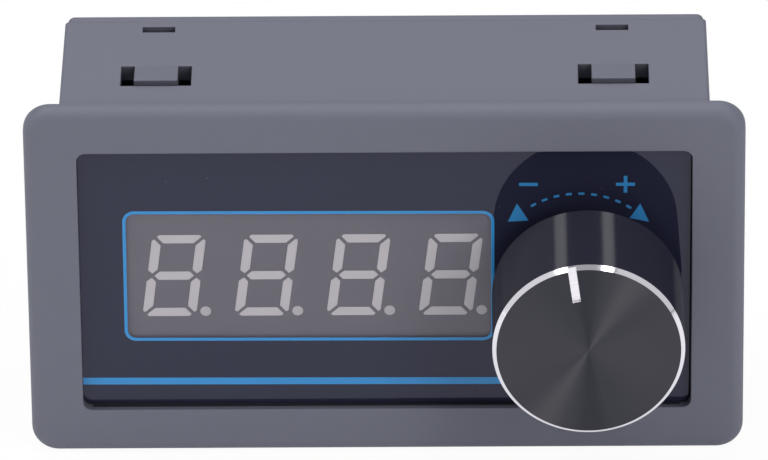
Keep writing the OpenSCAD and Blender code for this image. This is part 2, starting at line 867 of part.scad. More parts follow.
// Package with three leads below and one wide tab above
module voltage_regulator() {
    reach = regulator_size[1] / 2;
    pitch = regulator_size[0] * 0.35;
    color(chip_black) {
        package(regulator_at, regulator_size, 3, pitch, [2], pitch / 3, reach);
        package(regulator_at, regulator_size, 1, pitch, [0], pitch * 1.3, reach);
    }
}

// Can with a rolled groove, on a moulded base
module can_capacitor(at) {
    r = can_r;
    groove = can_r / 10;
    low = board_back + can_base[2];
    top = board_back + can_tall;
    slab(board_back, low) translate(at) square([can_base[0], can_base[1]], center = true);
    turned(at[0], at[1]) polygon([
        [0, low], [r, low], [r, low + 3 * groove], [r - groove, low + 4 * groove],
        [r, low + 5 * groove], [r, top - groove], [r - groove, top], [0, top]
    ]);
}

module filter_capacitors() {
    color(can_silver) for (at = capacitors_at) can_capacitor(at);
}

// Shielded coil: a square core with a round winding well
module inductor() {
    well = coil_size[2] / 5;
    top = board_back + coil_size[2];
    color(ferrite_grey) difference() {
        slab(board_back, top) translate(inductor_at) rounded_rect(coil_size[0], coil_size[1], well);
        turned(inductor_at[0], inductor_at[1])
            translate([coil_size[0] / 3, top - well]) square([well, well + eps]);
    }
}

module protection_diode() {
    color(chip_black) package(diode_at, diode_size, 1, 1, [0, 2], diode_size[0] * 0.6, diode_size[0] / 4);
}

// Rows of small blocks soldered to the board, each row given as its start and its count
module chip_rows(rows, size) {
    for (row = rows, i = [0:row[2] - 1])
        slab(board_back, board_back + size[2]) translate([row[0] + i * chip_step, row[1]])
            square([size[0], size[1]], center = true);
}

module chip_resistors() {
    color(chip_black) chip_rows(resistor_rows, resistor_size);
}

module chip_capacitors() {
    color(ceramic_tan) chip_rows(ceramic_rows, ceramic_size);
}

front_housing();
rear_cover();
front_overlay();
display_body();
display_segments();
display_pins();
circuit_board();
board_screws();
encoder_frame();
encoder_body();
encoder_bushing();
encoder_shaft();
encoder_plunger();
switch_dome();
encoder_pins();
encoder_washer();
encoder_nut();
knob();
knob_insert();
wiring_header();
wiring_header_pins();
microcontroller();
display_driver();
op_amp();
voltage_regulator();
filter_capacitors();
inductor();
protection_diode();
chip_resistors();
chip_capacitors();
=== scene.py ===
"""Looks of a panel-mount voltage signal generator, dressed over its CAD frame.

Everything is in metres, in the part's own frame: +X to the right as seen from the front, +Y to the
rear, +Z up. The CAD solids stay where they are and get their finishes here. New pieces are surfaces
worked out as whole arrays: grids that close on themselves, each row a ring of points.
"""

from __future__ import annotations

import logging
import math
from dataclasses import dataclass
from enum import Enum, IntEnum
from functools import cache, cached_property

import bmesh
import bpy
import numpy as np
from bpy.types import Material, Node, NodeSocket, NodeTree, Object
from mathutils import Matrix, Vector
from numpy.typing import NDArray


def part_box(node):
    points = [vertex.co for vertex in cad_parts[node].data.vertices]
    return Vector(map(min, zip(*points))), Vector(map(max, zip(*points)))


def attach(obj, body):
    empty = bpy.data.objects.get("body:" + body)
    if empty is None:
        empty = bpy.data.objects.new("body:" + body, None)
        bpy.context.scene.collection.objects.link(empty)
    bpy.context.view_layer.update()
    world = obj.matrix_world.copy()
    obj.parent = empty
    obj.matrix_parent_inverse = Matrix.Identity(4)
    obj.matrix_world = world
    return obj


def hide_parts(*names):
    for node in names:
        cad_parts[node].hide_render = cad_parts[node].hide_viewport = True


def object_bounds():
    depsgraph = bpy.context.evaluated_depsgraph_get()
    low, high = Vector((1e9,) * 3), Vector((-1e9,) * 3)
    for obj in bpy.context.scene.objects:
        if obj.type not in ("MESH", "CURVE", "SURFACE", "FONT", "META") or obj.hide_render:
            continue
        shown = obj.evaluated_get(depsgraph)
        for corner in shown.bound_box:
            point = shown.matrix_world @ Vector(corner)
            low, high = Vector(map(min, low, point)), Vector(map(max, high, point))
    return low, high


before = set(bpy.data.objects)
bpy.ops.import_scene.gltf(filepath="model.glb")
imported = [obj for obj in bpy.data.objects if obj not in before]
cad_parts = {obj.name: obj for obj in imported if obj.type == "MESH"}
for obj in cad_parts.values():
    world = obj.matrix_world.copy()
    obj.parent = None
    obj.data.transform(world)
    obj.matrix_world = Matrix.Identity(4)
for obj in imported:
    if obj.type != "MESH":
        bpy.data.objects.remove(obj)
CAD_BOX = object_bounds()

LOG = logging.getLogger("signal_generator")
MM = 0.001
# Distance within which two places are one
SAME_PLACE = 1e-7
# Texture coordinates that run round and along a turned piece
UV_NAME = "turning"
# Share of a full turn that draws a highlight out across the lathe's lines
ACROSS_LINES = 0.25
# Tint of the film's gloss
FILM_GLOSS = (0.8, 0.82, 1.0, 1.0)
WHITE = (1.0, 1.0, 1.0, 1.0)
BLACK = (0.0, 0.0, 0.0)

Points = NDArray[np.float64]
Faces = NDArray[np.int64]
Flat = tuple[float, float]
Place = tuple[float, float, float]
Colour = tuple[float, float, float]
Inputs = dict[str | int, object]
Sockets = bpy.types.bpy_prop_collection


class Body(Enum):
    """The CAD bodies that new pieces ride on."""

    HOUSING = "housing"
    KNOB = "knob"


class Slot(Enum):
    """The record's material slot names, passed along with new pieces but not read."""

    FILM = "overlay_film"
    KNOB = "knob_aluminium"


class Lines(Enum):
    """The lines that a lathe leaves: rings about the axis on a face, hoops along the axis on a side."""

    RINGS = "Rings"
    HOOPS = "Hoops"


class KnobPart(IntEnum):
    """The knob's surfaces, in the order of its finishes."""

    FACE = 0
    CHAMFER = 1
    SIDE = 2
    NOTCH = 3


def linear(red: int, green: int, blue: int) -> Colour:
    """Turns a display colour into the linear colour that a shader takes.

    Each channel c, as a share of 255, is c / 12.92 up to 0.04045 and ((c + 0.055) / 1.055) ** 2.4 above.

    Args:
        red: Red, from 0 to 255.
        green: Green, from 0 to 255.
        blue: Blue, from 0 to 255.

    Returns:
        The linear red, green and blue.
    """
    share = np.array([red, green, blue]) / 255.0
    curve = np.where(share <= 0.04045, share / 12.92, ((share + 0.055) / 1.055) ** 2.4)
    return tuple(curve.tolist())


def scaled(colour: Colour, factor: float) -> Colour:
    """Returns the colour with each channel times factor."""
    return tuple(c * factor for c in colour)


# Surfaces


def grid_faces(rows: int, columns: int, closed: bool = True) -> Faces:
    """Quads of a grid of points.

    Face (i, j) joins the points (i, j), (i, j + 1), (i + 1, j + 1) and (i + 1, j). In closed rows j + 1
    is taken round the end.

    Args:
        rows: Number of rows of points.
        columns: Number of points in a row.
        closed: Whether each row is a ring.

    Returns:
        Four point numbers for each face, row by row.
    """
    corner = np.arange(rows * columns).reshape(rows, columns)
    after = np.roll(corner, -1, axis=1)
    faces = np.stack([corner[:-1], after[:-1], after[1:], corner[1:]], axis=-1)
    return faces[:, :columns if closed else columns - 1].reshape(-1, 4)


def rounded_outline(low: Flat, high: Flat, radii: float | tuple[float, ...], arc: int = 9, side: int = 12
                    ) -> Points:
    """Points round a rectangle with rounded corners, as seen from the front.

    Corner k has its arc about the point that lies the corner's radius in from both edges, from
    90 k to 90 (k + 1) degrees. The straight stretch to the next arc is cut into equal steps.

    Args:
        low: Left and lower edge.
        high: Right and upper edge.
        radii: One radius, or that of the upper right, upper left, lower left and lower right corner.
        arc: Points on each arc.
        side: Points between one arc and the next.

    Returns:
        The points in order, as an array of X and Z.
    """
    signs = np.array([[1, 1], [-1, 1], [-1, -1], [1, -1]])
    radii = np.broadcast_to(np.asarray(radii, float), (4,))
    centre = np.where(signs > 0, high, low) - signs * radii[:, None]
    angle = np.radians(90.0 * np.arange(4)[:, None] + np.linspace(0, 90, arc)[None, :])
    turn = np.stack([np.cos(angle), np.sin(angle)], axis=-1)
    arcs = centre[:, None, :] + radii[:, None, None] * turn
    start = arcs[:, -1:, :]
    step = np.arange(1, side + 1)[None, :, None] / (side + 1)
    straights = start + step * (np.roll(arcs, -1, axis=0)[:, :1, :] - start)
    return np.concatenate([arcs, straights], axis=1).reshape(-1, 2)


def turned(outline: Points, about: Points, angle_deg: float) -> Points:
    """Turns points of X and Z about a point, from X towards Z."""
    c, s = math.cos(math.radians(angle_deg)), math.sin(math.radians(angle_deg))
    return about + (outline - about) @ np.array([[c, s], [-s, c]])


def turned_bar(middle: Flat, size: Flat, angle_deg: float) -> Points:
    """Outline of a bar with rounded corners, turned about its middle.

    Args:
        middle: Its middle.
        size: Its length and width.
        angle_deg: Angle of its length from X.

    Returns:
        Its points.
    """
    corner_share = 0.3
    middle, half = np.asarray(middle), np.array(size) / 2
    flat = rounded_outline(middle - half, middle + half, corner_share * size[1], arc=4, side=2)
    return turned(flat, middle, angle_deg)


def subdivided(corners: Points, steps: int = 4) -> Points:
    """Cuts each side of a polygon into equal steps."""
    share = np.arange(steps)[None, :, None] / steps
    return (corners[:, None] + share * (np.roll(corners, -1, axis=0) - corners)[:, None]).reshape(-1, 2)


def placed(name: str, data: bpy.types.ID) -> Object:
    """Puts a mesh, light or camera into the scene as an object.

    Args:
        name: The object's name.
        data: The mesh, light or camera.

    Returns:
        The object.
    """
    thing = bpy.data.objects.new(name, data)
    bpy.context.scene.collection.objects.link(thing)
    return thing


@dataclass
class Surface:
    """Points and faces of one piece, before they become a mesh.

    Attributes:
        points: Points of X, Y and Z.
        faces: Four point numbers for each face.
        slots: Number of the finish on each face.
        uv: Two texture coordinates for each corner of each face, where the finish follows the surface.
    """

    points: Points
    faces: Faces
    slots: Faces | None = None
    uv: Points | None = None

    @classmethod
    def from_rings(cls, *levels: tuple[Points, float]) -> Surface:
        """Lays outlines of X and Z, all with as many points, each at its own Y, and joins them in order."""
        rings = np.stack([np.insert(outline, 1, depth, axis=1) for outline, depth in levels])
        return cls(rings.reshape(-1, 3), grid_faces(*rings.shape[:2]))

    @classmethod
    def plate(cls, outline: Points, front: float, back: float) -> Surface:
        """A closed plate: the outline's middle, the outline in front, behind, and the middle again."""
        middle = np.broadcast_to(outline.mean(axis=0), outline.shape)
        return cls.from_rings((middle, front), (outline, front), (outline, back), (middle, back))

    @classmethod
    def band(cls, outer: Points, inner: Points, front: float, back: float) -> Surface:
        """A flat frame: its section's four corners carried round both outlines, closed on the first."""
        return cls.from_rings((outer, front), (inner, front), (inner, back), (outer, back), (outer, front))

    @classmethod
    def joined(cls, parts: list[Surface]) -> Surface:
        """Puts several surfaces, with no finish numbers or texture coordinates yet, into one.

        Args:
            parts: The surfaces.

        Returns:
            One surface with all their points and faces.
        """
        starts = np.cumsum([0] + [len(part.points) for part in parts[:-1]])
        faces = [part.faces + start for part, start in zip(parts, starts)]
        return cls(np.concatenate([part.points for part in parts]), np.concatenate(faces))

    def without_wall(self, x: float) -> Surface:
        """Drops the faces that lie wholly in the plane at x."""
        on_plane = np.isclose(self.points[self.faces][:, :, 0], x, atol=SAME_PLACE).all(axis=1)
        return Surface(self.points, self.faces[~on_plane])

    def turned_about(self, about: Points, angle_deg: float) -> Surface:
        """Turns the surface about a line along Y through a point of X and Z, from X towards Z."""
        flat = turned(self.points[:, ::2], about, angle_deg)
        return Surface(np.insert(flat, 1, self.points[:, 1], axis=1), self.faces, self.slots, self.uv)

    def piece(self, name: str, finishes: list[Finish], body: Body, slot: Slot, sharp_deg: float = 30.0
              ) -> Object:
        """Makes the surface an object that rides on a body.

        Points that coincide are merged, so poles and seams close, faces are turned outwards, and
        edges sharper than a limit stay sharp under smooth shading.

        Args:
            name: The piece's name.
            finishes: Its finishes, in the order of the finish numbers.
            body: The CAD body that it moves with.
            slot: Not used.
            sharp_deg: Angle between faces above which their edge is sharp.

        Returns:
            The new object.
        """
        mesh = bpy.data.meshes.new(name)
        count = len(self.faces)
        mesh.vertices.add(len(self.points))
        mesh.vertices.foreach_set("co", self.points.astype(np.float32).ravel())
        mesh.loops.add(4 * count)
        mesh.loops.foreach_set("vertex_index", self.faces.astype(np.int32).ravel())
        mesh.polygons.add(count)
        mesh.polygons.foreach_set("loop_start", np.arange(0, 4 * count, 4, dtype=np.int32))
        mesh.polygons.foreach_set("use_smooth", np.ones(count, dtype=bool))
        if self.slots is not None:
            mesh.polygons.foreach_set("material_index", self.slots.astype(np.int32))
        if self.uv is not None:
            mesh.uv_layers.new(name=UV_NAME).data.foreach_set("uv", self.uv.astype(np.float32).ravel())
        mesh.update(calc_edges=True)
        edit = bmesh.new()
        edit.from_mesh(mesh)
        bmesh.ops.remove_doubles(edit, verts=edit.verts, dist=SAME_PLACE)
        bmesh.ops.recalc_face_normals(edit, faces=edit.faces)
        edit.to_mesh(mesh)
        edit.free()
        mesh.set_sharp_from_angle(angle=math.radians(sharp_deg))
        for finish in finishes:
            mesh.materials.append(finish.material())
        piece = placed(name, mesh)
        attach(piece, body.value)
        LOG.info("piece %s: %d faces, on %s", name, len(mesh.polygons), body.value)
        return piece


# Shader graphs


class Graph:
    """Wires one shader node tree with short calls."""

    def __init__(self, tree: NodeTree) -> None:
        """Keeps the tree that the calls add to."""
        self.tree = tree

    def feed(self, node: Node, inputs: Inputs) -> Node:
        """Gives a node's inputs their values.

        Args:
            node: The node.
            inputs: Input sockets by name or number, each with a value or with a socket to link.

        Returns:
            The node.
        """
        for key, value in inputs.items():
            if isinstance(value, NodeSocket):
                self.tree.links.new(value, node.inputs[key])
            else:
                node.inputs[key].default_value = value
        return node

    def add(self, kind: str, inputs: Inputs | None = None, **settings: object) -> Node:
        """Adds a node.

        Args:
            kind: Blender's name of the node's type, without the ShaderNode in front.
            inputs: Its inputs, as feed takes them.
            settings: Properties of the node.

        Returns:
            The new node.
        """
        node = self.tree.nodes.new(kind if kind.startswith("Node") else "ShaderNode" + kind)
        for key, value in settings.items():
            setattr(node, key, value)
        return self.feed(node, inputs or {})

    def effect(self, group: NodeTree, **values: object) -> Sockets:
        """Places a group with its own values and returns its outputs."""
        return self.add("Group", values, node_tree=group).outputs

    def place(self) -> NodeSocket:
        """Adds the Object coordinates and returns the output."""
        return self.add("TexCoord").outputs["Object"]

    def math(self, operation: str, *values: object, clamp: bool = False) -> NodeSocket:
        """Adds a Math node and returns its output."""
        return self.add("Math", dict(enumerate(values)), operation=operation, use_clamp=clamp).outputs[0]

    def vector(self, operation: str, *values: object) -> Sockets:
        """Adds a Vector Math node and returns its outputs."""
        return self.add("VectorMath", dict(enumerate(values)), operation=operation).outputs

    def noise(self, size: NodeSocket, **inputs: float) -> NodeSocket:
        """Adds a noise whose waves are about size long and returns its value."""
        scale = self.math("DIVIDE", 1.0, size)
        return self.add("TexNoise", {"Vector": self.place(), "Scale": scale, **inputs}).outputs["Fac"]

    def spread(self, value: NodeSocket, low: float, high: float) -> NodeSocket:
        """Maps a value from 0..1 to low..high and returns the output."""
        return self.add("MapRange", {"Value": value, "To Min": low, "To Max": high}).outputs[0]

    def shades(self, value: NodeSocket, colour: Colour, low: float, high: float) -> NodeSocket:
        """Maps a value from 0..1 to the colour times low..high.

        Args:
            value: The value.
            colour: The colour.
            low: Its multiple at 0.
            high: Its multiple at 1.

        Returns:
            The colour as a socket.
        """
        ramp = self.add("ValToRGB", {"Fac": value})
        for element, factor in zip(ramp.color_ramp.elements, (low, high)):
            element.color = (*scaled(colour, factor), 1.0)
        return ramp.outputs["Color"]

    def about(self, value: NodeSocket, colour: Colour, variation: float) -> NodeSocket:
        """Maps a value from 0..1 to shades about a colour, up to a share of it darker and lighter."""
        return self.shades(value, colour, 1 - variation, 1 + variation)

    def mixed(self, share: NodeSocket, first: object, second: object) -> NodeSocket:
        """Mixes two colours, each a socket or a plain colour, by a share and returns the output."""
        pair = [colour if isinstance(colour, NodeSocket) else (*colour, 1.0) for colour in (first, second)]
        return self.add("Mix", {0: share, 6: pair[0], 7: pair[1]}, data_type="RGBA").outputs[2]

    def bump(self, depth: float, height: NodeSocket, **settings: object) -> Node:
        """Adds a Bump node at full strength, where a height of one stands out by depth, and returns it."""
        return self.add("Bump", {"Strength": 1.0, "Distance": depth, "Height": height}, **settings)

    def bumped(self, depth: float, height: NodeSocket, normal: NodeSocket) -> NodeSocket:
        """Adds a bump over a normal and returns the new normal."""
        return self.feed(self.bump(depth, height), {"Normal": normal}).outputs[0]


class Effects:
    """Shader node groups for the effects that several finishes share, each built once."""

    @staticmethod
    def _group(name: str, outputs: dict[str, str], **inputs: float | Place) -> tuple[Graph, Sockets, Node]:
        """Starts a group.

        Args:
            name: The group's name.
            outputs: Its output sockets, each with its kind.
            inputs: Its input sockets, each with its default, a number or a vector.

        Returns:
            A graph to wire it, the inputs to link from, and the group's output node.
        """
        tree = bpy.data.node_groups.new(name, "ShaderNodeTree")
        for label, value in inputs.items():
            kind = "NodeSocketVector" if isinstance(value, tuple) else "NodeSocketFloat"
            tree.interface.new_socket(label, in_out="INPUT", socket_type=kind).default_value = value
        for label, kind in outputs.items():
            tree.interface.new_socket(label, in_out="OUTPUT", socket_type="NodeSocket" + kind)
        graph = Graph(tree)
        return graph, graph.add("NodeGroupInput").outputs, graph.add("NodeGroupOutput")

    @cached_property
    def moulded_grain(self) -> NodeTree:
        """Spark-eroded mould texture: fine pits, with broad patches of tone and gloss.

        Returns:
            The group.
        """
        cell_scale, cell_height, pit_tone = 0.55, 0.45, 0.35
        graph, given, out = self._group(
            "moulded_grain", {"Height": "Float", "Tone": "Float", "Gloss": "Float"},
            Grain=0.16 * MM, Patch=12.0 * MM)
        pits = graph.noise(given["Grain"], Detail=2.0, Roughness=0.6)
        patch = graph.noise(given["Patch"], Detail=3.0)
        scale = graph.math("DIVIDE", cell_scale, given["Grain"])
        cells = graph.add("TexVoronoi", {"Vector": graph.place(), "Scale": scale}).outputs["Distance"]
        broad = graph.math("MULTIPLY", patch, 1.0 - pit_tone)
        graph.feed(out, {
            "Height": graph.math("MULTIPLY_ADD", cells, cell_height, pits),
            "Tone": graph.math("MULTIPLY_ADD", pits, pit_tone, broad),
            "Gloss": patch,
        })
        return graph.tree

    @cached_property
    def soft_edges(self) -> NodeTree:
        """Small rounding of every edge as the normal shows it, and a mask of where the edges are.

        Returns:
            The group.
        """
        edge_gain = 4.0
        graph, given, out = self._group("soft_edges", {"Normal": "Vector", "Edge": "Float"}, Radius=0.2 * MM)
        rounded = graph.add("Bevel", {"Radius": given["Radius"]}, samples=6).outputs["Normal"]
        face = graph.add("NewGeometry").outputs["Normal"]
        level = graph.vector("DOT_PRODUCT", rounded, face)["Value"]
        edge = graph.math("MULTIPLY", graph.math("SUBTRACT", 1.0, level), edge_gain, clamp=True)
        graph.feed(out, {"Normal": rounded, "Edge": edge})
        return graph.tree

    @cached_property
    def turned_lines(self) -> NodeTree:
        """Lines of a lathe tool: rings about an axis along Y on a face, and hoops along Y on a side.

        The normal leans to the front with the flanks of the grooves along Y, by half the given slope to
        all of it.

        Returns:
            The group.
        """
        graph, given, out = self._group(
            "turned_lines", {"Rings": "Float", "Hoops": "Float", "Normal": "Vector"},
            Centre=(0.0, 0.0, 0.0), Feed=0.12 * MM, Slope=0.0)
        offset = graph.vector("SUBTRACT", graph.place(), given["Centre"])[0]
        radius = graph.vector("LENGTH", graph.vector("MULTIPLY", offset, (1.0, 0.0, 1.0))[0])["Value"]
        depth = graph.add("SeparateXYZ", {0: offset}).outputs["Y"]
        for label, along in (("Rings", radius), ("Hoops", depth)):
            w = graph.math("DIVIDE", along, given["Feed"])
            lines = graph.add("TexNoise", {"W": w, "Scale": 1.0, "Detail": 2.0}, noise_dimensions="1D")
            graph.feed(out, {label: lines.outputs["Fac"]})
        flank = graph.math("PINGPONG", graph.math("DIVIDE", depth, given["Feed"]), 1.0)
        lean = graph.math("MULTIPLY", graph.math("MULTIPLY_ADD", flank, -0.5, -0.5), given["Slope"])
        tilt = graph.add("CombineXYZ", {"Y": lean}).outputs[0]
        leaned = graph.vector("ADD", graph.add("NewGeometry").outputs["Normal"], tilt)[0]
        graph.feed(out, {"Normal": graph.vector("NORMALIZE", leaned)[0]})
        return graph.tree

    @cached_property
    def handling(self) -> NodeTree:
        """Faint marks of handling: soft smears, and a few specks of dust.

        Returns:
            The group.
        """
        speck_share, bare_share = 0.045, 0.8
        graph, given, out = self._group(
            "handling", {"Smears": "Float", "Specks": "Float"}, Smear=9.0 * MM, Speck=1.6 * MM)
        scale = graph.math("DIVIDE", 1.0, given["Speck"])
        cells = graph.add("TexVoronoi", {"Vector": graph.place(), "Scale": scale}).outputs
        near = graph.math("LESS_THAN", cells["Distance"], speck_share)
        draw = graph.add("SeparateColor", {0: cells["Color"]}).outputs[0]
        graph.feed(out, {
            "Smears": graph.noise(given["Smear"], Detail=4.0, Distortion=0.6),
            "Specks": graph.math("MULTIPLY", near, graph.math("GREATER_THAN", draw, bare_share)),
        })
        return graph.tree

    @cached_property
    def inside_box(self) -> NodeTree:
        """One inside a box given by its centre and its half size, and nought outside it.

        Returns:
            The group.
        """
        graph, given, out = self._group(
            "inside_box", {"Mask": "Float"}, Centre=(0.0, 0.0, 0.0), Half=(1.0, 1.0, 1.0))
        away = graph.vector("ABSOLUTE", graph.vector("SUBTRACT", graph.place(), given["Centre"])[0])[0]
        room = graph.vector("SUBTRACT", given["Half"], away)[0]
        x, y, z = graph.add("SeparateXYZ", {0: room}).outputs
        least = graph.math("MINIMUM", x, graph.math("MINIMUM", y, z))
        graph.feed(out, {"Mask": graph.math("GREATER_THAN", least, 0.0)})
        return graph.tree


EFFECTS = Effects()


# Finishes


class Finish:
    """What a material is made from. Each kind of finish works out its own shader.

    In every finish variation is how far tone moves about the colour, as a share of it, and depth is that
    of the texture as bump.
    """

    name: str

    def _shader(self, graph: Graph) -> Inputs:
        """Wires what varies, and returns the Principled shader's inputs as Graph.feed takes them."""
        raise NotImplementedError

    def _surface(self, graph: Graph) -> NodeSocket:
        """Wires the whole finish and returns what the material shows."""
        return graph.add("BsdfPrincipled", self._shader(graph)).outputs[0]

    @cache
    def material(self) -> Material:
        """Builds the material, once.

        Returns:
            The material.
        """
        material = bpy.data.materials.new(self.name)
        material.use_nodes = True
        material.node_tree.nodes.clear()
        graph = Graph(material.node_tree)
        graph.add("OutputMaterial", {"Surface": self._surface(graph)})
        return material


@dataclass(frozen=True)
class MouldedPlastic(Finish):
    """A moulded plastic, ceramic or epoxy with the grain of its mould.

    Attributes:
        patchiness: How far roughness moves about its mean.
        edge_gain: Share of the edges' own lighter colour.
        edge_light: That colour, as a multiple of the face's.
        corner_reach: How far from an inner corner the painted shade reaches.
        painted_corner_shade: How much darker inner corners are painted by ambient occlusion, as a share of
            the colour.
    """

    name: str
    colour: Colour
    roughness: float = 0.5
    patchiness: float = 0.07
    grain: float = 0.16 * MM
    depth: float = 0.012 * MM
    variation: float = 0.06
    edge_radius: float = 0.15 * MM
    edge_gain: float = 0.15
    edge_light: float = 1.8
    specular: float = 0.5
    corner_reach: float = 5.0 * MM
    painted_corner_shade: float = 0.0

    def _shader(self, graph: Graph) -> Inputs:
        """Wires grain, softened edges and painted shade in inner corners.

        Args:
            graph: The material's graph.

        Returns:
            The shader's inputs, as Graph.feed takes them.
        """
        grain = graph.effect(EFFECTS.moulded_grain, Grain=self.grain)
        edges = graph.effect(EFFECTS.soft_edges, Radius=self.edge_radius)
        tone = graph.about(grain["Tone"], self.colour, self.variation)
        edge = graph.math("MULTIPLY", edges["Edge"], self.edge_gain)
        base = graph.mixed(edge, tone, scaled(self.colour, self.edge_light))
        # Painted shade: inner corners darkened towards black by ambient occlusion.
        if self.painted_corner_shade:
            around = graph.add(
                "AmbientOcclusion", {"Distance": self.corner_reach}, samples=8, only_local=True)
            closed = graph.math("SUBTRACT", 1.0, around.outputs["AO"])
            base = graph.mixed(graph.math("MULTIPLY", closed, self.painted_corner_shade), base, BLACK)
        low, high = self.roughness - self.patchiness, self.roughness + self.patchiness
        return {
            "Base Color": base,
            "Roughness": graph.spread(grain["Gloss"], low, high),
            "Normal": graph.bumped(self.depth, grain["Height"], edges["Normal"]),
            "Specular IOR Level": self.specular,
        }


@dataclass(frozen=True)
class LightWindows(MouldedPlastic):
    """The epoxy of the display's light windows, duller at the decimal points.

    The points stand one pitch apart, the last of them at the right end of the row, at its foot.

    Attributes:
        point_room: Reach of the duller place round a point's middle, as a share of the point's radius.
        point_shade: How much duller the points are, as a share of the colour.
    """

    digit_pitch: float = 10.16 * MM
    point_radius: float = 0.6 * MM
    point_room: float = 1.1
    point_shade: float = 0.12

    def _shader(self, graph: Graph) -> Inputs:
        """Wires the epoxy, with its colour shaded at the points.

        Args:
            graph: The material's graph.

        Returns:
            The shader's inputs, as Graph.feed takes them.
        """
        inputs = super()._shader(graph)
        low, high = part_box("display_segments")
        last, half = high.x - self.point_radius, self.digit_pitch / 2
        reach = self.point_room * self.point_radius
        x, _, z = graph.add("SeparateXYZ", {0: graph.place()}).outputs
        beside = graph.math("COMPARE", graph.math("WRAP", x, last + half, last - half), last, reach)
        foot = graph.math("LESS_THAN", z, low.z + 2 * reach)
        share = graph.math("MULTIPLY", graph.math("MULTIPLY", beside, foot), self.point_shade)
        return inputs | {"Base Color": graph.mixed(share, inputs["Base Color"], BLACK)}


@dataclass(frozen=True)
class GlossFilm(Finish):
    """Printed film seen through its own clear gloss.

    Attributes:
        smear_rough: What a smear adds to the roughness of the clean gloss.
        ripple: Height of the film's slow ripple.
        dust: Strength of the dust on it.
        bow_at: Middle of a slow bow of the film.
        bow: How strongly it is bowed there, as one over the bow's radius.
        bow_reach: How far from its middle the bow ends.
    """

    name: str
    colour: Colour
    variation: float = 0.06
    roughness: float = 0.018
    smear_rough: float = 0.02
    ripple: float = 0.0006 * MM
    dust: float = 0.25
    dust_colour: Colour = linear(150, 150, 155)
    bow_at: Place = (0.0, 0.0, 0.0)
    bow: float = 0.0
    bow_reach: float = 25.0 * MM

    def _shader(self, graph: Graph) -> Inputs:
        """Wires the print. The bow's height is the squared distance from its middle, times half of bow.

        Args:
            graph: The material's graph.

        Returns:
            The shader's inputs, as Graph.feed takes them.
        """
        marks = graph.effect(EFFECTS.handling)
        smears = marks["Smears"]
        tone = graph.about(smears, self.colour, self.variation)
        specks = graph.math("MULTIPLY", marks["Specks"], self.dust)
        offset = graph.vector("SUBTRACT", graph.place(), self.bow_at)[0]
        square = graph.vector("DOT_PRODUCT", offset, offset)["Value"]
        bowed = graph.bump(self.bow / 2, graph.math("MINIMUM", square, self.bow_reach ** 2), invert=True)
        return {
            "Base Color": graph.mixed(specks, tone, self.dust_colour),
            "Roughness": graph.math("MULTIPLY_ADD", smears, self.smear_rough, self.roughness),
            "Normal": graph.bumped(self.ripple, smears, bowed.outputs[0]),
            "Specular Tint": FILM_GLOSS,
        }


@dataclass(frozen=True)
class ClearFilm(Finish):
    """The clear window: what is behind shows through, under the film's gloss.

    Attributes:
        index: Refractive index that sets the gloss.
        smear_rough: What a smear adds to the roughness of the clean gloss.
    """

    name: str
    index: float = 1.5
    roughness: float = 0.018
    smear_rough: float = 0.02

    def _shader(self, graph: Graph) -> Inputs:
        """Wires the gloss alone.

        Args:
            graph: The material's graph.

        Returns:
            The shader's inputs, as Graph.feed takes them.
        """
        smears = graph.effect(EFFECTS.handling)["Smears"]
        rough = graph.math("MULTIPLY_ADD", smears, self.smear_rough, self.roughness)
        return {"Base Color": FILM_GLOSS, "Metallic": 1.0, "Roughness": rough}

    def _surface(self, graph: Graph) -> NodeSocket:
        """Wires gloss by Fresnel on the outer side, and clear otherwise.

        Args:
            graph: The material's graph.

        Returns:
            What the material shows.
        """
        outer = graph.math("SUBTRACT", 1.0, graph.add("NewGeometry").outputs["Backfacing"])
        share = graph.math("MULTIPLY", graph.add("Fresnel", {"IOR": self.index}).outputs[0], outer)
        clear = graph.add("BsdfTransparent").outputs[0]
        return graph.add("MixShader", {0: share, 1: clear, 2: super()._surface(graph)}).outputs[0]


@dataclass(frozen=True)
class TurnedMetal(Finish):
    """A turned metal surface, bare or anodised, with the tool's lines.

    Attributes:
        centre: A point on the turning axis.
        metallic: One for bare metal, and nought for a dyed oxide layer.
        stretch: How far the highlights are drawn out across the lines.
        lines: Which of the lathe's lines show.
        feed: Distance between the lines.
        slope: Slope of the grooves' steepest flanks, on a side.
        cloudiness: How far roughness moves about its mean.
    """

    name: str
    colour: Colour
    centre: Place
    metallic: float
    roughness: float
    stretch: float = 0.0
    lines: Lines = Lines.RINGS
    depth: float = 0.0012 * MM
    feed: float = 0.12 * MM
    slope: float = 0.0
    specular: float = 0.5
    variation: float = 0.12
    cloudiness: float = 0.05

    def _shader(self, graph: Graph) -> Inputs:
        """Wires the lines. Grooves along a side, which lean to the front, are matt in a mirror image.

        Args:
            graph: The material's graph.

        Returns:
            The shader's inputs, as Graph.feed takes them.
        """
        turning = graph.effect(EFFECTS.turned_lines, Centre=self.centre, Feed=self.feed, Slope=self.slope)
        lines, smears = turning[self.lines.value], graph.effect(EFFECTS.handling)["Smears"]
        smoothest = self.roughness - self.cloudiness
        rough = graph.math("MULTIPLY_ADD", smears, 2 * self.cloudiness, smoothest)
        if self.lines is Lines.HOOPS:
            rough = graph.math("MAXIMUM", rough, graph.add("LightPath").outputs["Is Glossy Ray"])
        return {
            "Base Color": graph.about(lines, self.colour, self.variation),
            "Roughness": rough,
            "Normal": graph.bumped(self.depth, lines, turning["Normal"]),
            "Tangent": graph.add("Tangent", direction_type="UV_MAP", uv_map=UV_NAME).outputs[0],
            "Metallic": self.metallic,
            "Anisotropic": self.stretch,
            "Anisotropic Rotation": ACROSS_LINES,
            "Specular IOR Level": self.specular,
        }


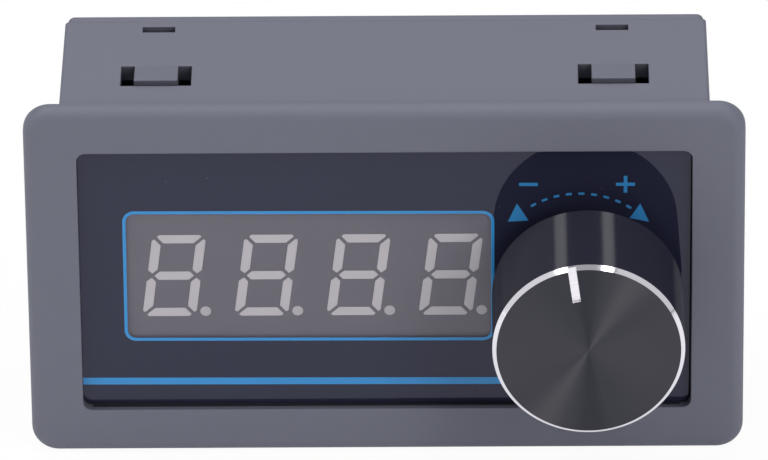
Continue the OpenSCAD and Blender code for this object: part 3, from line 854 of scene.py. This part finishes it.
@dataclass(frozen=True)
class PlatedMetal(Finish):
    """Plated, tinned or drawn metal with small clouding.

    Attributes:
        dulled: Share of the colour that is left where it is most clouded.
        gloss_range: What clouding adds to the roughness, and what a clear place takes off.
        cloud: Size of the clouding.
    """

    name: str
    colour: Colour
    roughness: float = 0.28
    dulled: float = 0.8
    gloss_range: Flat = (0.1, 0.08)
    cloud: float = 0.9 * MM
    depth: float = 0.002 * MM
    edge_radius: float = 0.08 * MM

    def _shader(self, graph: Graph) -> Inputs:
        """Wires clouding and softened edges.

        Args:
            graph: The material's graph.

        Returns:
            The shader's inputs, as Graph.feed takes them.
        """
        clouds = graph.effect(EFFECTS.handling, Smear=self.cloud)["Smears"]
        edges = graph.effect(EFFECTS.soft_edges, Radius=self.edge_radius)
        more, less = self.gloss_range
        return {
            "Base Color": graph.shades(clouds, self.colour, self.dulled, 1.0),
            "Roughness": graph.spread(clouds, self.roughness + more, self.roughness - less),
            "Normal": graph.bumped(self.depth, clouds, edges["Normal"]),
            "Metallic": 1.0,
        }


@dataclass(frozen=True)
class LeadedChip(Finish):
    """A moulded chip whose leads, past the sides of its body, are tinned.

    Attributes:
        node: CAD node of the chip.
        reach: How far the leads stand past the body along X and along Z.
        room: Room left round the body, so that its own sides lie inside.
    """

    node: str
    reach: Flat
    body: Colour = linear(38, 38, 41)
    lead: Colour = (0.72, 0.70, 0.66)
    variation: float = 0.1
    lead_rough: float = 0.3
    body_rough: float = 0.62
    grain: float = 0.08 * MM
    depth: float = 0.006 * MM
    room: float = 0.001 * MM

    @property
    def name(self) -> str:
        """The material's name."""
        return self.node + "_finish"

    def _shader(self, graph: Graph) -> Inputs:
        """Wires the body inside its own box, and tin outside it.

        Args:
            graph: The material's graph.

        Returns:
            The shader's inputs, as Graph.feed takes them.
        """
        low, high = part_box(self.node)
        half = (high - low) / 2
        inside = (half.x - self.reach[0] + self.room, 1.0, half.z - self.reach[1] + self.room)
        mask = graph.effect(EFFECTS.inside_box, Centre=(low + high) / 2, Half=inside)["Mask"]
        grain = graph.effect(EFFECTS.moulded_grain, Grain=self.grain)
        return {
            "Base Color": graph.mixed(
                mask, self.lead, graph.about(grain["Tone"], self.body, self.variation)),
            "Metallic": graph.math("SUBTRACT", 1.0, mask),
            "Roughness": graph.spread(mask, self.lead_rough, self.body_rough),
            "Normal": graph.bump(self.depth, grain["Height"]).outputs[0],
        }


@dataclass(frozen=True)
class SolderMask(Finish):
    """The board's lacquer over its copper, which shows as slightly lighter and raised tracks.

    Attributes:
        track: Width of a cell of the track pattern.
        track_from: Distance from a cell's middle, as a share of its width, at which a track starts.
        track_light: Colour over a track, as a multiple of the laminate's.
        unevenness: How far the cells stray from a plain grid.
        gloss: Least and most roughness.
    """

    name: str
    colour: Colour
    variation: float = 0.15
    track: float = 1.6 * MM
    track_from: float = 0.42
    track_light: float = 1.9
    track_height: float = 0.03 * MM
    unevenness: float = 0.8
    gloss: Flat = (0.25, 0.42)

    def _shader(self, graph: Graph) -> Inputs:
        """Wires the tracks and the lacquer.

        Args:
            graph: The material's graph.

        Returns:
            The shader's inputs, as Graph.feed takes them.
        """
        pattern = {"Vector": graph.place(), "Scale": 1.0 / self.track, "Randomness": self.unevenness}
        cells = graph.add("TexVoronoi", pattern, distance="CHEBYCHEV")
        tracks = graph.math("GREATER_THAN", cells.outputs["Distance"], self.track_from)
        grain = graph.effect(EFFECTS.moulded_grain)
        tone = graph.about(grain["Tone"], self.colour, self.variation)
        return {
            "Base Color": graph.mixed(tracks, tone, scaled(self.colour, self.track_light)),
            "Roughness": graph.spread(grain["Gloss"], *self.gloss),
            "Normal": graph.bump(self.track_height, tracks).outputs[0],
        }


@dataclass(frozen=True)
class WhiteFloor(Finish):
    """A pale matt floor that looks white to the camera and keeps the object's shadow.

    Attributes:
        white: How much light it throws on the object.
        mirrored: How much light it gives back where it is mirrored.
        mirror_glow: What it adds there without light.
        backdrop: Share of its white that shows without light, where it is seen.
    """

    name: str = "floor_white"
    white: float = 0.92
    mirrored: float = 0.3
    mirror_glow: float = 0.66
    backdrop: float = 0.94
    roughness: float = 0.9

    def _shader(self, graph: Graph) -> Inputs:
        """Wires its white by the kind of ray that meets it.

        Args:
            graph: The material's graph.

        Returns:
            The shader's inputs, as Graph.feed takes them.
        """
        path = graph.add("LightPath").outputs
        seen, mirrored = path["Is Camera Ray"], path["Is Glossy Ray"]
        unseen = graph.mixed(mirrored, (self.white,) * 3, (self.mirrored,) * 3)
        glow = graph.math("MULTIPLY", mirrored, self.mirror_glow)
        return {
            "Base Color": graph.mixed(seen, unseen, (1.0 - self.backdrop,) * 3),
            "Emission Strength": graph.math("MULTIPLY_ADD", seen, self.backdrop, glow),
            "Emission Color": WHITE,
            "Roughness": self.roughness,
            "Specular IOR Level": 0.0,
        }


def dress(finish: Finish, *nodes: str) -> None:
    """Gives CAD nodes a finish on their objects' own slots, so that their meshes stay as packed.

    Args:
        finish: The finish.
        nodes: Names of the CAD nodes.
    """
    for node in nodes:
        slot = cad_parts[node].material_slots[0]
        slot.link = "OBJECT"
        slot.material = finish.material()
        LOG.info("CAD node %s: finish %s", node, finish.name)


# Sub-assemblies


@dataclass
class Housing:
    """The moulded housing and its rear cover."""

    # The housing's inner corners get painted shade.
    plastic: MouldedPlastic = MouldedPlastic(
        "housing_plastic", linear(106, 108, 122), roughness=0.56, grain=0.14 * MM, depth=0.01 * MM,
        variation=0.03, edge_radius=0.22 * MM, edge_gain=0.12, specular=0.4, painted_corner_shade=0.75)

    def build(self) -> None:
        """Dresses the two mouldings."""
        dress(self.plastic, "front_housing", "rear_cover")


@dataclass
class FrontFilm:
    """The printed film in the bezel: dark field, clear window, and the print in light blue.

    Places are X and Z on the film's face, as seen from the front, before the film's turn. A name with
    at is a middle, and low and high are the left and lower, and the right and upper edge.

    Attributes:
        window_low: Lower corner of the window's border, outside.
        window_high: Its upper corner.
        border_line: Width of the border's line.
        stripe_z: Lower and upper edge of the stripe.
        sign_bar: Length and width of a sign's bars.
        arc_deg: Angles of the first and the last dash.
        dash: Length and width of a dash.
        arrows: Corners of the two arrowheads.
        hole_radius: Radius of the hole for the encoder's bushing.
        proud: How far the print stands above the film.
        edge_gap: Gap between the film's edge and its pocket.
        left_reach: How far the film is cut longer on the left, where it meets its pocket.
        shade_strip_size: Width and thickness of a dark strip of painted shadow along the film's lower edge.
        film_turn: Turn of the whole film in its pocket, as it was stuck on, in degrees.
        field: Finish of the dark field.
        blue: Finish of the border and the stripe.
        blue_with_painted_shade: The same blue print on the signs, dashes and arrowheads, darkened as painted
            shade from the knob.
    """

    window_low: Flat = (-28.91 * MM, -7.94 * MM)
    window_high: Flat = (11.97 * MM, 8.41 * MM)
    window_radius: float = 1.3 * MM
    border_line: float = 0.36 * MM
    film_radius: float = 1.0 * MM
    stripe_z: Flat = (-13.515 * MM, -12.655 * MM)
    stripe_end: float = 15.5 * MM
    stripe_radius: float = 0.02 * MM
    minus_at: Flat = (15.705 * MM, 11.7 * MM)
    plus_at: Flat = (26.346 * MM, 11.7 * MM)
    sign_bar: Flat = (2.09 * MM, 0.4 * MM)
    arc_at: Flat = (21.297 * MM, 0.842 * MM)
    arc_radius: float = 9.7 * MM
    arc_deg: Flat = (121.3, 56.0)
    dashes: int = 9
    dash: Flat = (0.66 * MM, 0.28 * MM)
    arrows: tuple[tuple[Flat, ...], ...] = (
        ((13.443 * MM, 7.032 * MM), (15.723 * MM, 7.19 * MM), (14.454 * MM, 9.326 * MM)),
        ((26.842 * MM, 7.473 * MM), (28.97 * MM, 7.0 * MM), (27.985 * MM, 9.298 * MM)),
    )
    hole_radius: float = 3.6 * MM
    proud: float = 0.012 * MM
    edge_gap: float = 0.14 * MM
    left_reach: float = 0.06 * MM
    shade_strip_size: Flat = (0.5 * MM, 0.05 * MM)
    film_turn: float = -0.22
    field: GlossFilm = GlossFilm(
        "film_print", linear(36, 37, 56), bow_at=(21.5 * MM, 0.0, -0.5 * MM), bow=0.85)
    blue: GlossFilm = GlossFilm("blue_print", linear(52, 142, 207), dust=0.1)
    # The blue print darkened as painted shade, where the knob shades the signs, dashes and arrowheads.
    blue_with_painted_shade: GlossFilm = GlossFilm("sign_print_painted_shade", linear(55, 131, 190), dust=0.1)
    clear: ClearFilm = ClearFilm("clear_window")
    # A dark plate that paints the shadow in the groove below the film.
    shade_strip_finish: MouldedPlastic = MouldedPlastic("film_painted_shade", linear(24, 25, 36), roughness=0.6, edge_gain=0.0)

    @cached_property
    def box(self) -> Points:
        """Lowest and highest corner of the CAD film."""
        return np.array(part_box("front_overlay"))

    @cached_property
    def middle(self) -> Points:
        """Middle of the film, as X and Z."""
        return self.box.mean(axis=0)[::2]

    def _laid(self, name: str, surface: Surface, finish: Finish) -> Object:
        """Turns a surface with the film and returns it as a piece with a name and a finish."""
        on_film = surface.turned_about(self.middle, self.film_turn)
        return on_film.piece(name, [finish], Body.HOUSING, Slot.FILM)

    def _border(self, inset: float) -> Points:
        """The border's outline moved inwards by a share of its line.

        Args:
            inset: The share, from 0 at its outer edge to 1 at its inner edge.

        Returns:
            Its points.
        """
        step = inset * self.border_line
        low, high = np.array(self.window_low) + step, np.array(self.window_high) - step
        return rounded_outline(low, high, self.window_radius - step)

    def _sheet(self) -> Surface:
        """The dark field: two flat frames side by side, one round the window and one round the bushing.

        Returns:
            The field with its two openings, the round one where the film's turn carries it to the bushing.
        """
        (left, front, foot), (right, back, head) = self.box
        bushing = np.array(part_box("encoder_bushing")).mean(axis=0)[::2]
        axis = turned(bushing, self.middle, -self.film_turn)
        seam = (self.window_high[0] + axis[0] - self.hole_radius) / 2
        r = self.film_radius
        window_part = rounded_outline((left - self.left_reach, foot), (seam, head), (0, r, r, 0))
        knob_part = rounded_outline((seam, foot), (right, head), (r, 0, 0, r))
        ray = knob_part - axis
        hole = axis + self.hole_radius * ray / np.linalg.norm(ray, axis=1, keepdims=True)
        pairs = [(window_part, self._border(0.5)), (knob_part, hole)]
        frames = [Surface.band(outer, inner, front, back) for outer, inner in pairs]
        return Surface.joined([part.without_wall(seam) for part in frames])

    def _painted_shade_strip(self) -> Surface:
        """A painted shadow along the film's lower edge: a thin dark plate on the pocket's lower wall.

        Returns:
            The plate.
        """
        (left, front, foot), (right, _, _) = self.box
        width, thickness = self.shade_strip_size
        wall = foot - self.edge_gap
        low, high = (left + self.film_radius, wall - thickness), (right - self.film_radius, wall + thickness)
        return Surface.plate(rounded_outline(low, high, thickness / 2), front - width, front)

    def _plus(self) -> Points:
        """The twelve corners of the plus sign, one quarter turned to four.

        Returns:
            The corners in order.
        """
        b, a = np.array(self.sign_bar) / 2
        quarter = np.array([[b, -a], [b, a], [a, a]])
        turns = [np.linalg.matrix_power(np.array([[0, 1], [-1, 0]]), k) for k in range(4)]
        return np.array(self.plus_at) + np.concatenate([quarter @ turn for turn in turns])

    def _signs(self) -> dict[str, list[Points]]:
        """Outlines of the plates of each printed sign.

        Returns:
            The outlines by the piece's name.
        """
        angles = np.linspace(*self.arc_deg, self.dashes)
        way = np.stack([np.cos(np.radians(angles)), np.sin(np.radians(angles))], axis=-1)
        middles = np.array(self.arc_at) + self.arc_radius * way
        return {
            "minus_sign": [turned_bar(self.minus_at, self.sign_bar, 0.0)],
            "plus_sign": [self._plus()],
            "turn_dashes": [turned_bar(at, self.dash, deg - 90.0) for at, deg in zip(middles, angles)],
            "turn_arrows": [subdivided(np.array(corners)) for corners in self.arrows],
        }

    def build(self) -> None:
        """Builds the film, its window, a dark plate of painted shadow below it, and its print, in place of
        the CAD film.
        """
        (left, face, _), (_, back, _) = self.box
        window = Surface.plate(self._border(0.5), face, back)
        sheet = self._laid("overlay_film", self._sheet(), self.field)
        pane = self._laid("overlay_window", window, self.clear)
        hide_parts("front_overlay")
        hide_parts("front_overlay")
        # Painted shadow: a dark plate along the film's lower edge.
        self._painted_shade_strip().piece("film_painted_shade", [self.shade_strip_finish], Body.HOUSING, Slot.FILM)
        level = (face - self.proud, face + self.proud)
        border = Surface.band(self._border(0.0), self._border(1.0), *level)
        self._laid("window_border", border, self.blue)
        foot, head = self.stripe_z
        stripe = rounded_outline((left, foot), (self.stripe_end, head), self.stripe_radius)
        self._laid("blue_stripe", Surface.plate(stripe, *level), self.blue)
        for name, outlines in self._signs().items():
            plates = [Surface.plate(outline, *level) for outline in outlines]
            self._laid(name, Surface.joined(plates), self.blue_with_painted_shade)


@dataclass
class Display:
    """The four-digit display behind the window."""

    shell: MouldedPlastic = MouldedPlastic(
        "display_shell", linear(96, 92, 101), roughness=0.6, grain=0.1 * MM, depth=0.004 * MM,
        variation=0.04, edge_gain=0.05)
    epoxy: LightWindows = LightWindows(
        "display_epoxy", linear(190, 185, 190), roughness=0.42, grain=0.3 * MM, depth=0.004 * MM,
        variation=0.04, edge_radius=0.1 * MM, edge_gain=0.0)

    def build(self) -> None:
        """Dresses the shell and the light windows."""
        dress(self.shell, "display_body")
        dress(self.epoxy, "display_segments")


@dataclass
class Knob:
    """The turned knob: black anodised, with a bright cut chamfer and a milled index notch.

    Attributes:
        chamfer: Width and height of the chamfer.
        chamfer_steps: Shares of the chamfer at which it has a ring of points.
        hollow_wall: Wall round the hollow in the base.
        notch_length: Length of the notch from the rim.
        notch_deg: Its angle to the left of the top.
        notch_aside: How far its middle line passes to the left of the axis.
        notch_columns: Points across the notch.
        columns: Points round the knob on each side of the notch.
        rings: Rings of points on the face inside the notch's end, on the face past it, and on the side.
        wall: Slope of the notch's walls across the face.
        black: Colour of the anodised face.
        side: Colour of the anodised side.
        bare: Colour of the cut chamfer.
        milled: Colour of the notch.
    """

    chamfer: float = 0.44 * MM
    chamfer_steps: tuple[float, ...] = (0.3, 0.6, 0.8, 1.0)
    hollow_wall: float = 3.0 * MM
    hollow_depth: float = 3.0 * MM
    notch_width: float = 0.88 * MM
    notch_length: float = 4.3 * MM
    notch_depth: float = 0.3 * MM
    notch_deg: float = 7.5
    notch_aside: float = 0.5 * MM
    notch_columns: int = 5
    columns: int = 120
    rings: tuple[int, int, int] = (8, 6, 7)
    wall: float = 0.02 * MM
    black: Colour = linear(19, 19, 38)
    side: Colour = linear(31, 32, 48)
    bare: Colour = (0.82, 0.8, 0.87)
    milled: Colour = (0.95, 0.93, 0.98)

    @cached_property
    def box(self) -> tuple[Vector, Vector]:
        """Lowest and highest corner of the CAD knob."""
        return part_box("knob")

    @property
    def radius(self) -> float:
        """Radius of the knob."""
        low, high = self.box
        return (high.x - low.x) / 2

    @property
    def axis(self) -> Place:
        """Point on the knob's axis, at its face."""
        low, high = self.box
        return ((low.x + high.x) / 2, low.y, (low.z + high.z) / 2)

    def _profile(self) -> tuple[Points, Points, Faces]:
        """The turned section from the middle of the face, over the rim and into the hollow base.

        Returns:
            Radii, depths behind the face, and the finish number of the stretch that each row starts.
        """
        low, high = self.box
        r, c, height = self.radius, self.chamfer, high.y - low.y
        inside, outside, along = self.rings
        start = r - self.notch_length
        insert_low, insert_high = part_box("knob_insert")
        core_r, core_end = (insert_high.x - insert_low.x) / 2, insert_low.y - low.y
        hollow_r, hollow_end = r - self.hollow_wall, height - self.hollow_depth
        past_end = np.linspace(start, r - c, outside)
        face = np.concatenate([np.linspace(0, start - self.wall, inside), past_end])
        rim = c * np.array(self.chamfer_steps)
        base_r = np.array([hollow_r, hollow_r, core_r, core_r, 0.0])
        base_y = np.array([height, hollow_end, hollow_end, core_end, core_end])
        side_y = np.linspace(c, height, along + 1)[1:]
        radii = np.concatenate([face, r - c + rim, np.full(along, r), base_r])
        depths = np.concatenate([np.zeros(len(face)), rim, side_y, base_y])
        finish = np.repeat(
            [KnobPart.FACE, KnobPart.CHAMFER, KnobPart.SIDE], [len(face) - 1, len(rim), along + len(base_r)])
        return radii, depths, finish

    def surface(self) -> Surface:
        """The knob's surface: a section turned about the axis, with the notch sunk into its front.

        Column s of the notch, from -1 at its left wall to 1 at its right, lies at the angle
        asin((s w / 2 - a) / r) at radius r, for the notch's width w and its distance a from the axis, so
        that the walls run straight. The columns outside it keep their angle at the rim, plus the shift
        of the nearer wall from its own angle at the rim, which fades evenly to nought opposite the notch.
        A point's depth is the section's depth, or the notch's depth where that is more and the point is
        between the walls and past the notch's end.

        Returns:
            The surface, with a finish number for each face and texture coordinates round and along it.
        """
        radii, depths, finish = self._profile()
        start = self.radius - self.notch_length
        across = np.linspace(-1, 1, self.notch_columns) * self.notch_width / 2 - self.notch_aside
        in_notch = np.arcsin(across[None, :] / np.clip(radii, start, None)[:, None])
        left, right = np.arcsin(across[[0, -1]] / self.radius)
        lip = self.wall / self.radius
        past_right = np.linspace(right + lip, math.pi, self.columns)
        past_left = np.linspace(-math.pi, left - lip, self.columns)[1:]
        angle = np.concatenate([
            past_left + (in_notch[:, :1] - left) * (past_left + math.pi) / (left + math.pi),
            in_notch,
            past_right + (in_notch[:, -1:] - right) * (math.pi - past_right) / (math.pi - right),
        ], axis=1)
        rows, columns = angle.shape
        column = np.arange(columns)
        inner = (column >= len(past_left)) & (column < len(past_left) + len(across))
        on_way = (radii >= start - SAME_PLACE) & (depths < self.notch_depth)
        sunk = inner[None, :] & on_way[:, None]
        depth = np.where(sunk, self.notch_depth, depths[:, None])
        turn = angle - math.radians(self.notch_deg)
        x0, y0, z0 = self.axis
        points = np.stack([
            x0 + radii[:, None] * np.sin(turn), y0 + depth, z0 + radii[:, None] * np.cos(turn)], axis=-1)
        faces = grid_faces(rows, columns)
        slots = np.where(sunk.ravel()[faces].any(axis=1), KnobPart.NOTCH, np.repeat(finish, columns))
        round_share = np.arange(columns + 1) / columns
        along = np.concatenate([[0], np.cumsum(np.hypot(np.diff(radii), np.diff(depths)))])
        i, j = np.divmod(np.arange(len(faces)), columns)
        corner_u = round_share[np.stack([j, j + 1, j + 1, j], axis=-1)]
        corner_v = along[np.stack([i, i, i + 1, i + 1], axis=-1)] / along[-1]
        return Surface(points.reshape(-1, 3), faces, slots, np.stack([corner_u, corner_v], axis=-1))

    def build(self) -> None:
        """Builds the knob in place of the CAD solid."""
        finishes = {
            KnobPart.FACE: TurnedMetal(
                "knob_face", self.black, self.axis, 0.0, 0.44, stretch=1.0, specular=0.85),
            KnobPart.CHAMFER: TurnedMetal("knob_chamfer", self.bare, self.axis, 1.0, 0.1, feed=0.06 * MM),
            KnobPart.SIDE: TurnedMetal(
                "knob_side", self.side, self.axis, 0.0, 0.13, lines=Lines.HOOPS, slope=1.0, specular=0.22),
            KnobPart.NOTCH: TurnedMetal("knob_notch", self.milled, self.axis, 1.0, 0.42, feed=0.2 * MM),
        }
        ordered = [finishes[part] for part in KnobPart]
        piece = self.surface().piece("knob_turned", ordered, Body.KNOB, Slot.KNOB)
        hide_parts("knob")


@dataclass
class Works:
    """What is inside: board, encoder, wiring header and parts.

    Attributes:
        finishes: Each finish with the CAD nodes that have it.
        chips: Finishes of the chips with leads, which name their own nodes.
    """

    finishes: tuple[tuple[Finish, tuple[str, ...]], ...] = (
        (PlatedMetal("plated_steel", (0.62, 0.62, 0.60)),
         ("board_screws", "encoder_frame", "encoder_bushing", "encoder_shaft", "switch_dome",
          "encoder_washer", "encoder_nut")),
        (PlatedMetal("tinned_brass", (0.74, 0.72, 0.68), roughness=0.34, cloud=0.5 * MM),
         ("display_pins", "encoder_pins", "wiring_header_pins")),
        (PlatedMetal("can_aluminium", (0.80, 0.81, 0.82), roughness=0.22), ("filter_capacitors",)),
        (MouldedPlastic("black_moulding", linear(36, 36, 38)), ("encoder_body", "knob_insert")),
        (MouldedPlastic("nylon", linear(222, 222, 214), roughness=0.45), ("encoder_plunger",)),
        (MouldedPlastic("terminal_green", linear(38, 112, 62), roughness=0.42), ("wiring_header",)),
        (MouldedPlastic("ferrite", linear(56, 56, 58), roughness=0.7, grain=0.06 * MM), ("inductor",)),
        (MouldedPlastic("ceramic", linear(160, 128, 92), roughness=0.4), ("chip_capacitors",)),
        (MouldedPlastic("chip_epoxy", linear(38, 38, 41), roughness=0.6), ("chip_resistors",)),
        (SolderMask("board_laminate", linear(24, 92, 54)), ("circuit_board",)),
    )
    chips: tuple[LeadedChip, ...] = (
        LeadedChip("microcontroller", (1.0 * MM, 1.0 * MM)),
        LeadedChip("display_driver", (0.0, 1.0 * MM)),
        LeadedChip("op_amp", (0.0, 1.0 * MM)),
        LeadedChip("voltage_regulator", (0.0, 1.75 * MM)),
        LeadedChip("protection_diode", (0.0, 0.65 * MM)),
    )

    def build(self) -> None:
        """Dresses every CAD node inside the housing."""
        for finish, nodes in self.finishes:
            dress(finish, *nodes)
        for chip in self.chips:
            dress(chip, chip.node)


# The studio


@dataclass(frozen=True)
class SoftBox:
    """A rectangular soft light.

    Attributes:
        at: Its middle.
        aim: The point that it faces.
        size: Its width and length.
        glow: Its radiance, where 1 is white.
        twist_deg: Turn about its own line of sight.
    """

    name: str
    at: Place
    aim: Place
    size: Flat
    glow: float
    twist_deg: float = 0.0

    def build(self) -> None:
        """Adds the light. An area light of area A and radiance L gives pi A L watts."""
        lamp = bpy.data.lights.new(self.name, "AREA")
        lamp.shape = "RECTANGLE"
        lamp.size, lamp.size_y = self.size
        lamp.energy = math.pi * math.prod(self.size) * self.glow
        light = placed(self.name, lamp)
        way = (Vector(self.aim) - Vector(self.at)).to_track_quat("-Z", "Y").to_matrix()
        turn = way @ Matrix.Rotation(math.radians(self.twist_deg), 3, "Z")
        light.matrix_world = Matrix.Translation(self.at) @ turn.to_4x4()
        light.visible_camera = False


@dataclass
class Studio:
    """White floor, plain soft light and the camera at the photograph's viewing angle.

    Attributes:
        azimuth_deg: Camera's angle to the right of the front.
        elevation_deg: Its angle above the horizon.
        roll_deg: Its turn about its own line of sight.
        target: What it looks at.
        distance: Its distance from there.
        focal_px: Its focal length in pixels of the image.
        image_px: The image's width in pixels.
        sensor_mm: Width of the sensor.
        clip: Nearest and farthest distance that it sees.
        floor_half: Half the floor's width.
        floor_points: Points along each side of the floor.
        ambient: Radiance of the surroundings.
    """

    azimuth_deg: float = 0.736
    elevation_deg: float = 29.033
    roll_deg: float = -0.649
    target: Place = (-0.00014, 0.0, 0.005546)
    distance: float = 1.030858
    focal_px: float = 9372.29
    image_px: int = 768
    sensor_mm: float = 36.0
    clip: Flat = (0.05, 50.0)
    floor: WhiteFloor = WhiteFloor()
    floor_half: float = 12.0
    floor_points: int = 9
    ambient: float = 0.04
    lights: tuple[SoftBox, ...] = (
        SoftBox("left_strip", (-0.203, 0.05, 0.5), (-0.203, 0.05, 0.0), (0.108, 0.82), 4.4, -2.0),
        SoftBox("right_strip", (0.196, 0.05, 0.5), (0.196, 0.05, 0.0), (0.102, 0.82), 4.4, -0.5),
        SoftBox("ceiling", (0.0, 0.3, 0.9), (0.0, 0.3, 0.0), (0.76, 1.2), 0.53),
        SoftBox("front_ceiling", (0.0, -0.5, 0.9), (0.0, -0.5, 0.0), (0.76, 0.4), 0.36),
        SoftBox("rear_top", (-0.15, 1.0, 0.9), (0.0, 0.0, 0.0), (1.2, 0.5), 1.25),
        SoftBox("left_panel", (-1.1, -1.48, 1.04), (0.0, -1.48, 1.04), (2.44, 2.12), 0.73),
        SoftBox("left_rear", (-1.1, 0.12, 0.9), (0.0, 0.12, 0.9), (0.76, 1.8), 1.3),
        SoftBox("right_panel", (1.1, -1.38, 1.06), (0.0, -1.38, 1.06), (2.64, 2.08), 0.63),
        SoftBox("front_right", (0.58, -0.81, 0.46), (0.02, 0.0, 0.0), (0.35, 0.5), 5.0),
    )

    def _floor(self) -> None:
        """Lays the floor under the object, a flat grid."""
        step = np.linspace(-self.floor_half, self.floor_half, self.floor_points)
        x, y = np.meshgrid(step, step)
        points = np.stack([x, y, np.full_like(x, CAD_BOX[0].z)], axis=-1).reshape(-1, 3)
        faces = grid_faces(self.floor_points, self.floor_points, closed=False)
        mesh = bpy.data.meshes.new("floor")
        mesh.from_pydata(points.tolist(), [], faces.tolist())
        mesh.materials.append(self.floor.material())
        placed("floor", mesh)

    def _surroundings(self) -> None:
        """Sets the even light that comes from all round, in front of a white backdrop."""
        world = bpy.data.worlds.new("surroundings")
        world.use_nodes = True
        graph = Graph(world.node_tree)
        seen = graph.add("LightPath").outputs["Is Camera Ray"]
        strength = graph.math("MULTIPLY_ADD", seen, 1.0 - self.ambient, self.ambient)
        graph.feed(world.node_tree.nodes["Background"], {"Color": WHITE, "Strength": strength})
        bpy.context.scene.world = world

    def _camera(self) -> None:
        """Places the camera from its angles, its distance and its focal length."""
        a, e, r = (math.radians(d) for d in (self.azimuth_deg, self.elevation_deg, self.roll_deg))
        back = Vector((math.sin(a) * math.cos(e), -math.cos(a) * math.cos(e), math.sin(e)))
        level = Vector((math.cos(a), math.sin(a), 0.0))
        right = math.cos(r) * level + math.sin(r) * back.cross(level)
        lens = bpy.data.cameras.new("camera")
        lens.sensor_width = self.sensor_mm
        lens.lens = self.focal_px * self.sensor_mm / self.image_px
        lens.clip_start, lens.clip_end = self.clip
        camera = placed("camera", lens)
        place = Matrix((right, back.cross(right), back)).transposed().to_4x4()
        place.translation = Vector(self.target) + self.distance * back
        camera.matrix_world = place
        bpy.context.scene.camera = camera

    def build(self) -> None:
        """Sets up the camera, the floor, the surroundings and the lights."""
        self._camera()
        self._floor()
        self._surroundings()
        for light in self.lights:
            light.build()
        bpy.context.scene.view_settings.view_transform = "Standard"


def main() -> None:
    """Builds the studio and dresses each sub-assembly in order."""
    logging.basicConfig(level=logging.INFO, format="%(name)s: %(message)s")
    for part in (Studio(), Housing(), FrontFilm(), Display(), Knob(), Works()):
        part.build()
        LOG.info("built %s", type(part).__name__)


if __name__ == "__main__":
    main()
